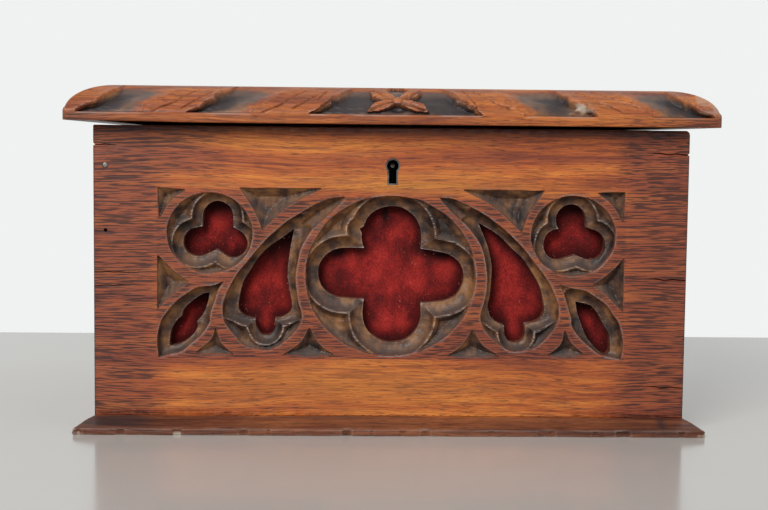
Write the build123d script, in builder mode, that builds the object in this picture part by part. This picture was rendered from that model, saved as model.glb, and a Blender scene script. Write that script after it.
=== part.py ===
from build123d import *
import math
import os

# Carved oak letter box with a hinged lid, a box lock and red velvet behind pierced Gothic tracery.
# Millimetres. Origin: centre of the box's footprint on the table. The front looks along -Y, up is +Z.

# Driving sizes of the box
box_width = 300.0
box_depth = 196.0
panel_height = 146.9
front_thick = 14.0
side_thick = 12.0
back_thick = 12.0
bottom_thick = 7.8

# Base strip along the front
strip_depth = 11.5
strip_nosing = 3.3
strip_return = 11.4

# Lid
lid_thick = 18.5
lid_overhang = 13.0
lid_nosing = 4.7
lid_quirk = 1.0
ovolo_run = 23.0
slot_length = 160.0
slot_width = 10.0

# Levels of the carving, as depths below the face
field_sunk = 1.5
hollow_depth = 6.0
hollow_run = 5.0
pit_depth = 3.2
spandrel_depth = 4.5
pit_margin = 1.7
least_pit = 8.0

# Half the width of the carved field
field_half = 118.2

# Central ring and its four foils: across, up, radius
ring_mid = 72.1
ring_r = 43.0
side_foil_out = 24.5
side_foil_r = 12.8
end_foil_up = 20.0
end_foil_r = 15.2
foil_cusp_out = 14.2
foil_cusp_up = 13.9

# Trefoil roundels
roundel_out = 91.9
roundel_mid = 93.2
roundel_r = 21.2
trefoil_lobe_r = 7.5
trefoil_top_out = 90.8
trefoil_top_up = 101.4
trefoil_low_half = 8.8
trefoil_low_mid = 90.8
trefoil_low_up = 88.2
trefoil_hollow_run = 4.0

# Large mouchettes: the round foot, the flank and the tip of the field
mouchette_foot_out = 65.5
mouchette_foot_up = 53.5
mouchette_foot_r = 19.8
mouchette_flank = (-57.6, 96.3)
mouchette_tip = (-23.5, 111.6)
mouchette_waist = (-45.6, 85.4)

# Their openings, anticlockwise from the tip
mouchette_open_tip = (-49.6, 95.2)
mouchette_open_flank = (-69.6, 77.6)
mouchette_open_left = (-77.9, 57.6)
mouchette_open_low = (-64.2, 47.6)
mouchette_open_cusps = ((-69.2, 48.9), (-58.8, 49.1))
mouchette_lobe_mid = (-63.9, 45.7)
mouchette_lobe_r = 5.3
mouchette_open_right = (-50.6, 58.2)
mouchette_open_waist = (-52.7, 73.0)

# Leaf mouchettes in the lower corners
leaf_tip = (-85.4, 68.9)
leaf_back = (-108.0, 59.6)
leaf_foot = (-117.8, 31.2)
leaf_belly = (-96.6, 40.6)
leaf_open_tip = (-92.6, 62.4)
leaf_open_back = (-100.0, 59.2)
leaf_open_notch = (-106.4, 51.0)
leaf_open_lower = (-111.3, 43.9)
leaf_open_foot = (-112.6, 35.0)
leaf_open_belly = (-103.4, 38.4)
leaf_open_cusp = (-98.7, 47.4)
leaf_open_throat = (-94.6, 53.2)

# Spandrels: three corners each, and a point on the side that bows
spandrels = [
    ((-field_half, 116.0), (-103.0, 115.4), (-117.4, 99.4), (-111.6, 109.6)),
    ((-field_half, 82.4), (-102.2, 68.4), (-field_half, 54.2), (-111.0, 75.0)),
    ((-77.6, 116.2), (-34.0, 116.4), (-65.4, 94.6), (-68.6, 107.0)),
    ((-88.8, 46.2), (-99.2, 32.0), (-79.2, 31.4), (-90.6, 39.4)),
    ((-41.4, 45.6), (-55.6, 31.0), (-28.0, 31.0), (-46.2, 37.6)),
]

# Keyhole and its thread escutcheon
keyhole_up = 127.8
keyhole_r = 3.0
keyhole_slot = 3.8
keyhole_foot = 118.9
thread_wall = 0.8
thread_deep = 3.0

# Box lock in the back of the top rail
lock_half = 26.0
lock_plate = 1.2
case_half = 19.5
case_wall = 1.0
case_deep = 6.4
case_cap = 1.0
lock_foot_up = 114.4
case_foot_up = 116.2
selvedge_thick = 1.8
selvedge_deep = 8.8
bolt_low_up = 130.7
bolt_tall = 6.0
bolt_thick = 2.4
bolt_end = 11.5
bolt_length = 28.0
talon_width = 8.0
talon_deep = 3.5
stem_width = 3.0
finger_length = 5.0
finger_tall = 3.7
staple_x = 8.0
staple_width = 3.0
staple_deep = 5.2
staple_drop = 9.0
staple_wire = 1.0
staple_eye = 5.4
spring_thick = 0.6
spring_width = 2.0
spring_half = 5.0
drill_pin_r = 1.0
drill_pin_front = 3.5
lock_gap = 0.2
play = 0.6
spring_gap = 0.3

# Link plate under the lid
link_thick = 1.5
link_half = 22.0
link_deep = 9.0
link_gap = 0.1

# Velvet and the board behind it
velvet_thick = 1.5
backing_thick = 3.0
backing_half = 126.0
backing_low = 24.0
backing_gap = 0.5

# Butt hinges
hinge_length = 38.0
hinge_from_end = 55.0
leaf_reach = 9.0
leaf_thick = 1.4
barrel_r = 2.4
barrel_gap = 0.3
hinge_pin_r = 1.0
pin_play = 0.05
knuckle_gap = 0.2
middle_knuckle = 16.0

# Fasteners
nail_r = 0.9
nail_head_r = 1.6
nail_head = 0.9
nail_length = 34.0
stopping = 1.5
nail_ups = (24.0, 94.2, 126.8)
bottom_nail_step = 50.0
bottom_nail_out = 70.0
tack_r = 0.7
tack_head_r = 2.2
tack_head = 0.6
tack_length = 8.0
tack_inset = 5.0
tack_rows = (29.0, 70.0, 109.0)
screw_r = 1.1
screw_head_r = 2.1
screw_head = 1.2
hinge_screw_length = 11.0
lock_screw_length = 8.0
pin_nail_r = 0.6
pin_nail_length = 20.0
pin_rise = 2.2
pin_from_end = 10.0
pin_inner_out = 50.0
hinge_screw_step = 12.0
hinge_screw_inset = 4.8
link_screw_out = 17.0
lock_screw_out = 22.8
lock_screw_ups = (120.4, 138.0)

# What follows from those sizes
front_y = -box_depth / 2
back_y = box_depth / 2
inner_front_y = front_y + front_thick
inner_back_y = back_y - back_thick
side_out = (box_width - side_thick) / 2
top_z = bottom_thick + panel_height
strip_half = box_width / 2 + strip_return
lid_low_z = top_z + link_gap + link_thick
lid_high_z = lid_low_z + lid_thick
lid_half = box_width / 2 + lid_overhang
lid_front_y = front_y - lid_overhang
ovolo_low_z = lid_low_z + lid_nosing
ovolo_rise = lid_thick - lid_nosing
ovolo_half = lid_half - lid_quirk - ovolo_run
ovolo_front_y = lid_front_y + lid_quirk + ovolo_run
hinge_out = box_width / 2 - hinge_from_end
hinge_y = back_y + barrel_gap + barrel_r
hinge_z = (top_z + lid_low_z) / 2
case_stack = lock_plate + case_deep + case_cap
bolt_y = inner_front_y - lock_plate - case_deep / 2
bolt_top_up = bolt_low_up + bolt_tall
staple_low_up = panel_height + link_gap - staple_drop
finger_up = staple_low_up + staple_wire + play
finger_x = staple_x - staple_width / 2 - play - finger_length
selvedge_low_up = panel_height - selvedge_thick
spring_x = bolt_end - bolt_length + play + spring_half + spring_thick
backing_tall = lock_foot_up - backing_gap - backing_low

# Where the fasteners go: across and up on the upright faces, across and back on the level ones
shown_nail = (-side_out, nail_ups[2])
lost_nail = (-side_out, nail_ups[1])
stopped_nails = [(-side_out, nail_ups[0]), *[(side_out, up) for up in nail_ups]]
back_nail_points = [(side * side_out, up) for side in (-1, 1) for up in nail_ups]
bottom_nail_points = [
    *[(side * side_out, step * bottom_nail_step) for side in (-1, 1) for step in (-1, 0, 1)],
    *[(side * bottom_nail_out, front_y + front_thick / 2) for side in (-1, 1)],
    *[(side * bottom_nail_out, back_y - back_thick / 2) for side in (-1, 1)],
]
tack_points = [(side * (backing_half - tack_inset), up) for side in (-1, 1) for up in tack_rows]
tack_points.append((0, tack_rows[0]))
pin_outs = (box_width / 2 - pin_from_end, pin_inner_out)
pin_points = [(side * out, pin_rise - bottom_thick) for side in (-1, 1) for out in pin_outs]
hinge_screw_points = [
    (side * hinge_out + step * hinge_screw_step, back_y - hinge_screw_inset)
    for side in (-1, 1)
    for step in (-1, 0, 1)
]
link_screw_points = [(side * link_screw_out, bolt_y) for side in (-1, 1)]
lock_screw_points = [(side * lock_screw_out, up) for side in (-1, 1) for up in lock_screw_ups]


def upright(y):
    """A plane that looks forward at this depth, measured across and up from the panel's lower edge."""
    return Plane(origin=(0, y, bottom_thick), x_dir=(1, 0, 0), z_dir=(0, -1, 0))


def level(z):
    return Plane.XY.offset(z)


front_face = upright(front_y)
sunk_face = front_face.offset(-field_sunk)
strip_face = upright(front_y - strip_depth)
os.makedirs("parts", exist_ok=True)


def keep(piece, name):
    piece.part.label = name
    export_step(piece.part, "parts/" + name + ".step")


def peg(plane, points, r, reach, mode=Mode.ADD):
    """Round pegs of one size at some points, or holes for them."""
    with BuildSketch(plane) as rounds:
        with Locations(*points):
            Circle(r)
    extrude(rounds.sketch, amount=reach, mode=mode)


def bore(plane, points, r, reach):
    peg(plane, points, r, reach, Mode.SUBTRACT)


def countersink(plane, points, way, mode=Mode.SUBTRACT):
    """The cone of a screw's head, flush with the plane."""
    with BuildSketch(plane) as heads:
        with Locations(*points):
            Circle(screw_head_r)
    slope = math.degrees(math.atan((screw_head_r - screw_r) / screw_head))
    extrude(heads.sketch, amount=way * screw_head, taper=slope, mode=mode)


def screws(plane, points, length, way):
    countersink(plane, points, way, Mode.ADD)
    peg(plane.offset(way * screw_head), points, screw_r, way * (length - screw_head))


def block(plane, low, high, reach, mode=Mode.ADD):
    """A straight block on a plane, between two corners."""
    with BuildSketch(plane) as face:
        with Locations(((low[0] + high[0]) / 2, (low[1] + high[1]) / 2)):
            Rectangle(high[0] - low[0], high[1] - low[1])
    extrude(face.sketch, amount=reach, mode=mode)


def leaf_beds(z):
    """Beds for the two hinge leaves, let in from the back edge."""
    for side in (-1, 1):
        low = (side * hinge_out - hinge_length / 2, back_y - leaf_reach)
        high = (side * hinge_out + hinge_length / 2, back_y)
        block(level(z), low, high, leaf_thick, Mode.SUBTRACT)


# Outlines of the tracery, each for the left half or for the middle

with BuildSketch() as ring_field:
    with Locations((0, ring_mid)):
        Circle(ring_r)

foils = [
    (-side_foil_out, ring_mid, side_foil_r),
    (side_foil_out, ring_mid, side_foil_r),
    (0, ring_mid + end_foil_up, end_foil_r),
    (0, ring_mid - end_foil_up, end_foil_r),
]

foil_cusps = [
    (a * foil_cusp_out, ring_mid + b * foil_cusp_up) for a, b in ((-1, 1), (1, 1), (1, -1), (-1, -1))
]

with BuildSketch() as roundel_field:
    with Locations((-roundel_out, roundel_mid)):
        Circle(roundel_r)

lobes = [
    (-trefoil_top_out, trefoil_top_up, trefoil_lobe_r),
    (-trefoil_low_mid - trefoil_low_half, trefoil_low_up, trefoil_lobe_r),
    (-trefoil_low_mid + trefoil_low_half, trefoil_low_up, trefoil_lobe_r),
]
trefoil_heart = [(lobe[0], lobe[1]) for lobe in lobes]

foot_left = (-mouchette_foot_out - mouchette_foot_r, mouchette_foot_up)
foot_low = (-mouchette_foot_out, mouchette_foot_up - mouchette_foot_r)
foot_right = (-mouchette_foot_out + mouchette_foot_r, mouchette_foot_up)
with BuildSketch() as mouchette_field:
    with BuildLine():
        ThreePointArc(mouchette_tip, mouchette_flank, foot_left)
        ThreePointArc(foot_left, foot_low, foot_right)
        ThreePointArc(foot_right, mouchette_waist, mouchette_tip)
    make_face()

with BuildSketch() as mouchette_opening:
    with BuildLine():
        ThreePointArc(mouchette_open_tip, mouchette_open_flank, mouchette_open_left)
        ThreePointArc(mouchette_open_left, mouchette_open_low, mouchette_open_right)
        ThreePointArc(mouchette_open_right, mouchette_open_waist, mouchette_open_tip)
    make_face()

mouchette_lobe = (mouchette_lobe_mid[0], mouchette_lobe_mid[1], mouchette_lobe_r)
mouchette_throat = [*mouchette_open_cusps, mouchette_lobe_mid]

with BuildSketch() as leaf_field:
    with BuildLine():
        ThreePointArc(leaf_tip, leaf_back, leaf_foot)
        ThreePointArc(leaf_foot, leaf_belly, leaf_tip)
    make_face()

with BuildSketch() as leaf_opening:
    with BuildLine():
        ThreePointArc(leaf_open_tip, leaf_open_back, leaf_open_notch)
        ThreePointArc(leaf_open_notch, leaf_open_lower, leaf_open_foot)
        ThreePointArc(leaf_open_foot, leaf_open_belly, leaf_open_cusp)
        ThreePointArc(leaf_open_cusp, leaf_open_throat, leaf_open_tip)
    make_face()

# The keyhole, for the panel, the lock's cap and the thread escutcheon
with BuildSketch() as keyhole:
    with Locations((0, keyhole_up)):
        Circle(keyhole_r)
    with Locations((0, keyhole_up)):
        Rectangle(keyhole_slot, keyhole_up - keyhole_foot, align=(Align.CENTER, Align.MAX))


def round_opening(circles, heart, run, side):
    """Cut lobed tracery: a hollowed cone and a hole for each lobe, and a hole through the middle."""
    taper = math.degrees(math.atan(run / hollow_depth))
    for out, up, r in circles:
        with BuildSketch(sunk_face) as hollow:
            with Locations((side * out, up)):
                Circle(r + run)
        extrude(hollow.sketch, amount=-hollow_depth, taper=taper, mode=Mode.SUBTRACT)
    with BuildSketch(front_face) as hole:
        for out, up, r in circles:
            with Locations((side * out, up)):
                Circle(r)
        with BuildLine():
            Polyline([(side * x, z) for x, z in heart], close=True)
        make_face()
    extrude(hole.sketch, amount=-front_thick, mode=Mode.SUBTRACT)


def shaped_opening(field, opening, side):
    """Cut an opening of any outline, hollowed from its field's edge, on the left (1) or right (-1)."""
    with BuildSketch(front_face) as mouth:
        add(field.sketch)
        if side < 0:
            mirror(about=Plane.YZ, mode=Mode.REPLACE)
    with BuildSketch(front_face.offset(-field_sunk - hollow_depth)) as throat:
        add(opening.sketch)
        if side < 0:
            mirror(about=Plane.YZ, mode=Mode.REPLACE)
    loft(sections=[mouth.sketch.faces()[0], throat.sketch.faces()[0]], ruled=True, mode=Mode.SUBTRACT)
    extrude(throat.sketch, amount=-front_thick, mode=Mode.SUBTRACT)


def small_pits(field, circles, run, side):
    """Sink the small spandrels left between a field's edge and the mouldings of its lobes."""
    with BuildSketch(sunk_face) as pits:
        offset(field.sketch, amount=-pit_margin, kind=Kind.INTERSECTION)
        for out, up, r in circles:
            with Locations((out, up)):
                Circle(r + run + pit_margin, mode=Mode.SUBTRACT)
        if side < 0:
            mirror(about=Plane.YZ, mode=Mode.REPLACE)
    for pit in pits.sketch.faces():
        if pit.area > least_pit:
            extrude(pit, amount=-pit_depth, mode=Mode.SUBTRACT)


def spandrel(first, second, third, bow, side):
    """Sink a three-cornered spandrel to a point under its middle."""
    corners = [(side * x, z) for x, z in (first, second, third, bow)]
    with BuildSketch(front_face) as mouth:
        with BuildLine():
            Polyline(corners[2], corners[0], corners[1])
            ThreePointArc(corners[1], corners[3], corners[2])
        make_face()
    middle = mouth.sketch.faces()[0].center()
    deepest = Vertex(middle.X, middle.Y + spandrel_depth, middle.Z)
    loft(sections=[mouth.sketch.faces()[0], deepest], ruled=True, mode=Mode.SUBTRACT)


with BuildPart() as front_panel:
    with BuildSketch(front_face):
        Rectangle(box_width, panel_height, align=(Align.CENTER, Align.MIN))
    extrude(amount=-front_thick)
    # Fields sunk inside the ribs
    with BuildSketch(front_face):
        add(ring_field.sketch)
        add(roundel_field.sketch)
        mirror(roundel_field.sketch, about=Plane.YZ)
    extrude(amount=-field_sunk, mode=Mode.SUBTRACT)
    # Quatrefoil, trefoils, mouchettes and leaves, with the small spandrels inside their fields
    small_pits(ring_field, foils, hollow_run, 1)
    round_opening(foils, foil_cusps, hollow_run, 1)
    for side in (1, -1):
        small_pits(roundel_field, lobes, trefoil_hollow_run, side)
        round_opening(lobes, trefoil_heart, trefoil_hollow_run, side)
        shaped_opening(mouchette_field, mouchette_opening, side)
        round_opening([mouchette_lobe], mouchette_throat, hollow_run, side)
        shaped_opening(leaf_field, leaf_opening, side)
        for corners in spandrels:
            spandrel(*corners, side)
    # Keyhole, and the rebate of its thread
    with BuildSketch(front_face):
        add(keyhole.sketch)
    extrude(amount=-front_thick, mode=Mode.SUBTRACT)
    with BuildSketch(front_face):
        offset(keyhole.sketch, amount=thread_wall)
    extrude(amount=-thread_deep, mode=Mode.SUBTRACT)
    # Bed of the lock, from the back
    inner_face = upright(inner_front_y)
    for half, low_up, deep in (
        (lock_half, lock_foot_up, lock_plate),
        (case_half + lock_gap, case_foot_up - lock_gap, case_stack + lock_gap),
        (lock_half, selvedge_low_up, selvedge_deep),
    ):
        block(inner_face, (-half, low_up), (half, panel_height), deep, Mode.SUBTRACT)
    # Nails: one head shows, one nail is lost, and the rest are sunk and stopped
    bore(front_face, [shown_nail], nail_head_r, -nail_head)
    bore(front_face, [shown_nail, lost_nail], nail_r, -front_thick)
    bore(front_face.offset(-stopping), stopped_nails, nail_head_r, -nail_head)
    bore(front_face.offset(-stopping), stopped_nails, nail_r, -front_thick)
    bore(level(0), bottom_nail_points, nail_r, nail_length)
    bore(inner_face, tack_points, tack_r, tack_length - velvet_thick - backing_thick)
    bore(inner_face, lock_screw_points, screw_r, lock_screw_length)
keep(front_panel, "front_panel")

with BuildPart() as keyhole_escutcheon:
    with BuildSketch(front_face):
        offset(keyhole.sketch, amount=thread_wall)
        add(keyhole.sketch, mode=Mode.SUBTRACT)
    extrude(amount=-thread_deep)
keep(keyhole_escutcheon, "keyhole_escutcheon")

# Carcase

for side, name in ((-1, "left_side"), (1, "right_side")):
    with BuildPart() as side_board:
        low = (side * side_out - side_thick / 2, inner_front_y)
        high = (side * side_out + side_thick / 2, inner_back_y)
        block(level(bottom_thick), low, high, panel_height)
        bore(front_face, [shown_nail, lost_nail], nail_r, -nail_length)
        bore(front_face.offset(-stopping), stopped_nails, nail_r, -nail_length)
        bore(upright(back_y), back_nail_points, nail_r, nail_length)
        bore(level(0), bottom_nail_points, nail_r, nail_length)
    keep(side_board, name)

with BuildPart() as back_panel:
    block(upright(back_y), (-box_width / 2, 0), (box_width / 2, panel_height), back_thick)
    bore(upright(back_y), back_nail_points, nail_head_r, nail_head)
    bore(upright(back_y), back_nail_points, nail_r, nail_length)
    bore(level(0), bottom_nail_points, nail_r, nail_length)
    leaf_beds(top_z - leaf_thick)
    bore(level(top_z), hinge_screw_points, screw_r, -hinge_screw_length)
keep(back_panel, "back_panel")

with BuildPart() as bottom_board:
    block(level(0), (-box_width / 2, front_y), (box_width / 2, back_y), bottom_thick)
    bore(level(0), bottom_nail_points, nail_head_r, nail_head)
    bore(level(0), bottom_nail_points, nail_r, bottom_thick)
    bore(strip_face.offset(-stopping), pin_points, pin_nail_r, -pin_nail_length)
keep(bottom_board, "bottom_board")

with BuildPart() as base_strip:
    with BuildSketch(Plane.YZ):
        with BuildLine():
            Polyline(
                (front_y, 0),
                (front_y - strip_depth, 0),
                (front_y - strip_depth, strip_nosing),
                (front_y, bottom_thick),
                close=True,
            )
        make_face()
    extrude(amount=strip_half, both=True)
    with BuildSketch(strip_face):
        with BuildLine():
            Polyline(
                (-strip_half, -bottom_thick),
                (strip_half, -bottom_thick),
                (strip_half, strip_nosing - bottom_thick),
                (box_width / 2, 0),
                (-box_width / 2, 0),
                (-strip_half, strip_nosing - bottom_thick),
                close=True,
            )
        make_face()
    extrude(amount=-strip_depth, mode=Mode.INTERSECT)
    bore(strip_face.offset(-stopping), pin_points, pin_nail_r, -strip_depth)
keep(base_strip, "base_strip")

# Lid, with ovolo edges at the front and both ends

with BuildPart() as lid:
    with BuildSketch(Plane.YZ):
        with BuildLine():
            Polyline(
                (lid_front_y + lid_quirk, ovolo_low_z),
                (lid_front_y, ovolo_low_z),
                (lid_front_y, lid_low_z),
                (back_y, lid_low_z),
                (back_y, lid_high_z),
                (ovolo_front_y, lid_high_z),
            )
            EllipticalCenterArc((ovolo_front_y, ovolo_low_z), ovolo_run, ovolo_rise, 90, arc_size=90)
        make_face()
    extrude(amount=lid_half, both=True)
    with BuildSketch(Plane.XZ.offset(-back_y)):
        with BuildLine():
            EllipticalCenterArc((-ovolo_half, ovolo_low_z), ovolo_run, ovolo_rise, 90, arc_size=90)
            Polyline(
                (lid_quirk - lid_half, ovolo_low_z),
                (-lid_half, ovolo_low_z),
                (-lid_half, lid_low_z),
                (lid_half, lid_low_z),
                (lid_half, ovolo_low_z),
                (lid_half - lid_quirk, ovolo_low_z),
            )
            EllipticalCenterArc((ovolo_half, ovolo_low_z), ovolo_run, ovolo_rise, 0, arc_size=90)
            Line((ovolo_half, lid_high_z), (-ovolo_half, lid_high_z))
        make_face()
    extrude(amount=box_depth + lid_overhang, mode=Mode.INTERSECT)
    with BuildSketch(level(lid_low_z)):
        SlotOverall(slot_length, slot_width)
    extrude(amount=lid_thick, mode=Mode.SUBTRACT)
    leaf_beds(lid_low_z)
    bore(level(lid_low_z), hinge_screw_points, screw_r, hinge_screw_length)
    bore(level(lid_low_z), link_screw_points, screw_r, lock_screw_length - link_thick)
keep(lid, "lid")

# Velvet behind the tracery, on its board

velvet_rear_y = inner_front_y + velvet_thick
backing_rear_y = velvet_rear_y + backing_thick
backing_low_corner = (-backing_half, backing_low)
backing_high_corner = (backing_half, backing_low + backing_tall)

with BuildPart() as velvet_lining:
    block(upright(velvet_rear_y), backing_low_corner, backing_high_corner, velvet_thick)
    bore(upright(velvet_rear_y), tack_points, tack_r, velvet_thick)
keep(velvet_lining, "velvet_lining")

with BuildPart() as backing_board:
    block(upright(backing_rear_y), backing_low_corner, backing_high_corner, backing_thick)
    bore(upright(backing_rear_y), tack_points, tack_r, backing_thick)
keep(backing_board, "backing_board")

with BuildPart() as velvet_tacks:
    peg(upright(backing_rear_y), tack_points, tack_head_r, -tack_head)
    peg(upright(backing_rear_y), tack_points, tack_r, tack_length)
keep(velvet_tacks, "velvet_tacks")

# Nails and pins

with BuildPart() as front_nails:
    for plane, points in ((front_face, [shown_nail]), (front_face.offset(-stopping), stopped_nails)):
        peg(plane, points, nail_head_r, -nail_head)
        peg(plane, points, nail_r, -nail_length)
keep(front_nails, "front_nails")

with BuildPart() as back_nails:
    peg(upright(back_y), back_nail_points, nail_head_r, nail_head)
    peg(upright(back_y), back_nail_points, nail_r, nail_length)
keep(back_nails, "back_nails")

with BuildPart() as bottom_nails:
    peg(level(0), bottom_nail_points, nail_head_r, nail_head)
    peg(level(0), bottom_nail_points, nail_r, nail_length)
keep(bottom_nails, "bottom_nails")

with BuildPart() as strip_pins:
    peg(strip_face.offset(-stopping), pin_points, pin_nail_r, -pin_nail_length)
keep(strip_pins, "strip_pins")

# Butt hinges at the back

end = hinge_length / 2
mid = middle_knuckle / 2
for side, name in ((-1, "left_hinge"), (1, "right_hinge")):
    x = side * hinge_out
    axis_plane = Plane(origin=(x, hinge_y, hinge_z), x_dir=(0, 1, 0), z_dir=(1, 0, 0))
    with BuildPart() as box_leaf:
        block(level(top_z), (x - end, back_y - leaf_reach), (x + end, hinge_y), -leaf_thick)
        block(level(top_z), (x - mid, back_y), (x + mid, hinge_y), -leaf_thick, Mode.SUBTRACT)
        for start in (-end, mid):
            peg(axis_plane.offset(start), [(0, 0)], barrel_r, end - mid)
        bore(axis_plane.offset(-end), [(0, 0)], hinge_pin_r + pin_play, hinge_length)
        countersink(level(top_z), hinge_screw_points, -1)
        bore(level(top_z), hinge_screw_points, screw_r, -leaf_thick)
    keep(box_leaf, name + "_box_leaf")

    near = mid - knuckle_gap
    with BuildPart() as lid_leaf:
        block(level(lid_low_z), (x - end, back_y - leaf_reach), (x + end, back_y), leaf_thick)
        block(level(lid_low_z), (x - near, back_y), (x + near, hinge_y), leaf_thick)
        peg(axis_plane.offset(-near), [(0, 0)], barrel_r, 2 * near)
        bore(axis_plane.offset(-end), [(0, 0)], hinge_pin_r + pin_play, hinge_length)
        countersink(level(lid_low_z), hinge_screw_points, 1)
        bore(level(lid_low_z), hinge_screw_points, screw_r, leaf_thick)
    keep(lid_leaf, name + "_lid_leaf")

    with BuildPart() as hinge_pin:
        peg(axis_plane.offset(-end), [(0, 0)], hinge_pin_r, hinge_length)
    keep(hinge_pin, name + "_pin")

with BuildPart() as hinge_box_screws:
    screws(level(top_z), hinge_screw_points, hinge_screw_length, -1)
keep(hinge_box_screws, "hinge_box_screws")

with BuildPart() as hinge_lid_screws:
    screws(level(lid_low_z), hinge_screw_points, hinge_screw_length, 1)
keep(hinge_lid_screws, "hinge_lid_screws")

# Box lock: plate and selvedge, a case round the works, a cap with the keyhole, bolt, spring and drill pin

plate_front_y = inner_front_y - lock_plate
cap_y = plate_front_y - case_deep
staple_low = (staple_x - staple_width / 2, bolt_y - staple_deep / 2)
staple_high = (staple_x + staple_width / 2, bolt_y + staple_deep / 2)

with BuildPart() as lock_case:
    block(upright(inner_front_y), (-lock_half, lock_foot_up), (lock_half, panel_height), lock_plate)
    block(upright(inner_front_y), (-lock_half, selvedge_low_up), (lock_half, panel_height), selvedge_deep)
    block(upright(plate_front_y), (-case_half, case_foot_up), (case_half, selvedge_low_up), case_deep)
    hollow_low = (case_wall - case_half, case_foot_up + case_wall)
    hollow_high = (case_half - case_wall, selvedge_low_up)
    block(upright(plate_front_y), hollow_low, hollow_high, case_deep, Mode.SUBTRACT)
    slot_low = (staple_low[0] - play, staple_low[1] - play)
    slot_high = (staple_high[0] + play, staple_high[1] + play)
    block(level(top_z), slot_low, slot_high, -selvedge_thick, Mode.SUBTRACT)
    countersink(upright(inner_front_y), lock_screw_points, 1)
keep(lock_case, "lock_case")

with BuildPart() as lock_cap:
    block(upright(cap_y), (-case_half, case_foot_up), (case_half, selvedge_low_up), case_cap)
    with BuildSketch(upright(cap_y)):
        add(keyhole.sketch)
    extrude(amount=case_cap, mode=Mode.SUBTRACT)
keep(lock_cap, "lock_cap")

bolt_face = upright(bolt_y - bolt_thick / 2)
with BuildPart() as lock_bolt:
    block(bolt_face, (bolt_end - bolt_length, bolt_low_up), (bolt_end, bolt_top_up), -bolt_thick)
    block(bolt_face, (finger_x - stem_width, bolt_top_up), (finger_x, finger_up + finger_tall), -bolt_thick)
    block(bolt_face, (finger_x, finger_up), (finger_x + finger_length, finger_up + finger_tall), -bolt_thick)
    block(
        bolt_face,
        (-talon_width / 2, bolt_low_up),
        (talon_width / 2, bolt_low_up + talon_deep),
        -bolt_thick,
        Mode.SUBTRACT,
    )
keep(lock_bolt, "lock_bolt")

spring_round_up = selvedge_low_up - spring_gap - spring_half
with BuildPart() as lock_spring:
    for r, mode in ((spring_half, Mode.ADD), (spring_half - spring_thick, Mode.SUBTRACT)):
        with BuildSketch(upright(bolt_y - spring_width / 2)):
            with Locations((spring_x, spring_round_up)):
                Circle(r)
                Rectangle(2 * r, spring_round_up - bolt_top_up, align=(Align.CENTER, Align.MAX))
            with Locations((spring_x, bolt_top_up)):
                Rectangle(4 * r, 2 * r, align=(Align.CENTER, Align.MAX), mode=Mode.SUBTRACT)
        extrude(amount=-spring_width, mode=mode)
keep(lock_spring, "lock_spring")

with BuildPart() as lock_drill_pin:
    peg(upright(plate_front_y), [(0, keyhole_up)], drill_pin_r, plate_front_y - front_y - drill_pin_front)
keep(lock_drill_pin, "lock_drill_pin")

with BuildPart() as lock_screws:
    screws(upright(inner_front_y), lock_screw_points, lock_screw_length, 1)
keep(lock_screws, "lock_screws")

# Link plate under the lid, with the staple that the bolt's finger enters

with BuildPart() as link_plate:
    plate_low = (-link_half, bolt_y - link_deep / 2)
    plate_high = (link_half, bolt_y + link_deep / 2)
    block(level(lid_low_z), plate_low, plate_high, -link_thick)
    block(level(lid_low_z - link_thick), staple_low, staple_high, -staple_drop)
    eye_half = staple_deep / 2 - staple_wire
    block(
        Plane.YZ.offset(staple_low[0]),
        (bolt_y - eye_half, bottom_thick + staple_low_up + staple_wire),
        (bolt_y + eye_half, bottom_thick + staple_low_up + staple_wire + staple_eye),
        staple_width,
        Mode.SUBTRACT,
    )
    countersink(level(lid_low_z - link_thick), link_screw_points, 1)
    bore(level(lid_low_z - link_thick), link_screw_points, screw_r, link_thick)
keep(link_plate, "link_plate")

with BuildPart() as link_screws:
    screws(level(lid_low_z - link_thick), link_screw_points, lock_screw_length, 1)
keep(link_screws, "link_screws")
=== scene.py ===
# %% [markdown]
# # A carved oak letter box
# A Victorian letter box: oak boards nailed into a box, a front pierced with Gothic tracery over red
# velvet, and a lid with a leaf-carved edge and a slot for letters. The measured solids are loaded
# first. They give every place and size, so nothing here is fitted by eye in space.
# %% Load the measured solids
import math

import bmesh
import bpy
import numpy as np
from mathutils import Matrix, Vector
from mathutils.geometry import delaunay_2d_cdt


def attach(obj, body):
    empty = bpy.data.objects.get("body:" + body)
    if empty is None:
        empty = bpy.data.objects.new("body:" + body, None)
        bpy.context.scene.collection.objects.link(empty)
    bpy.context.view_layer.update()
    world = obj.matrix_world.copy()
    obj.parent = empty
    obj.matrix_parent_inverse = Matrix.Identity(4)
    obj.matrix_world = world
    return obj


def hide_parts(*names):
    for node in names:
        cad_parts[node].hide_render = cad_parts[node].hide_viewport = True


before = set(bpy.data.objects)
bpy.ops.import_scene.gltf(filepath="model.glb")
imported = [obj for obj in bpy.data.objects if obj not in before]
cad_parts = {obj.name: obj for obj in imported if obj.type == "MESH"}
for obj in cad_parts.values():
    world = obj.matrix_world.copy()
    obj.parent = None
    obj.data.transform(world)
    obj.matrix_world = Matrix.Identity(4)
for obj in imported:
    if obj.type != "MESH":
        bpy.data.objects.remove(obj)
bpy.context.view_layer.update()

MM = 0.001

# %% [markdown]
# ## Camera
# The place and tilt come from fitting known corners of the box to the picture. A long lens from
# close to the table keeps the front nearly flat, as the picture shows it. The matrix is written
# from three directions because Euler angles would hide the small roll.
# %% Camera
def place_object(name, data):
    """A new object in the scene."""
    placed = bpy.data.objects.new(name, data)
    bpy.context.collection.objects.link(placed)
    return placed


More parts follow.
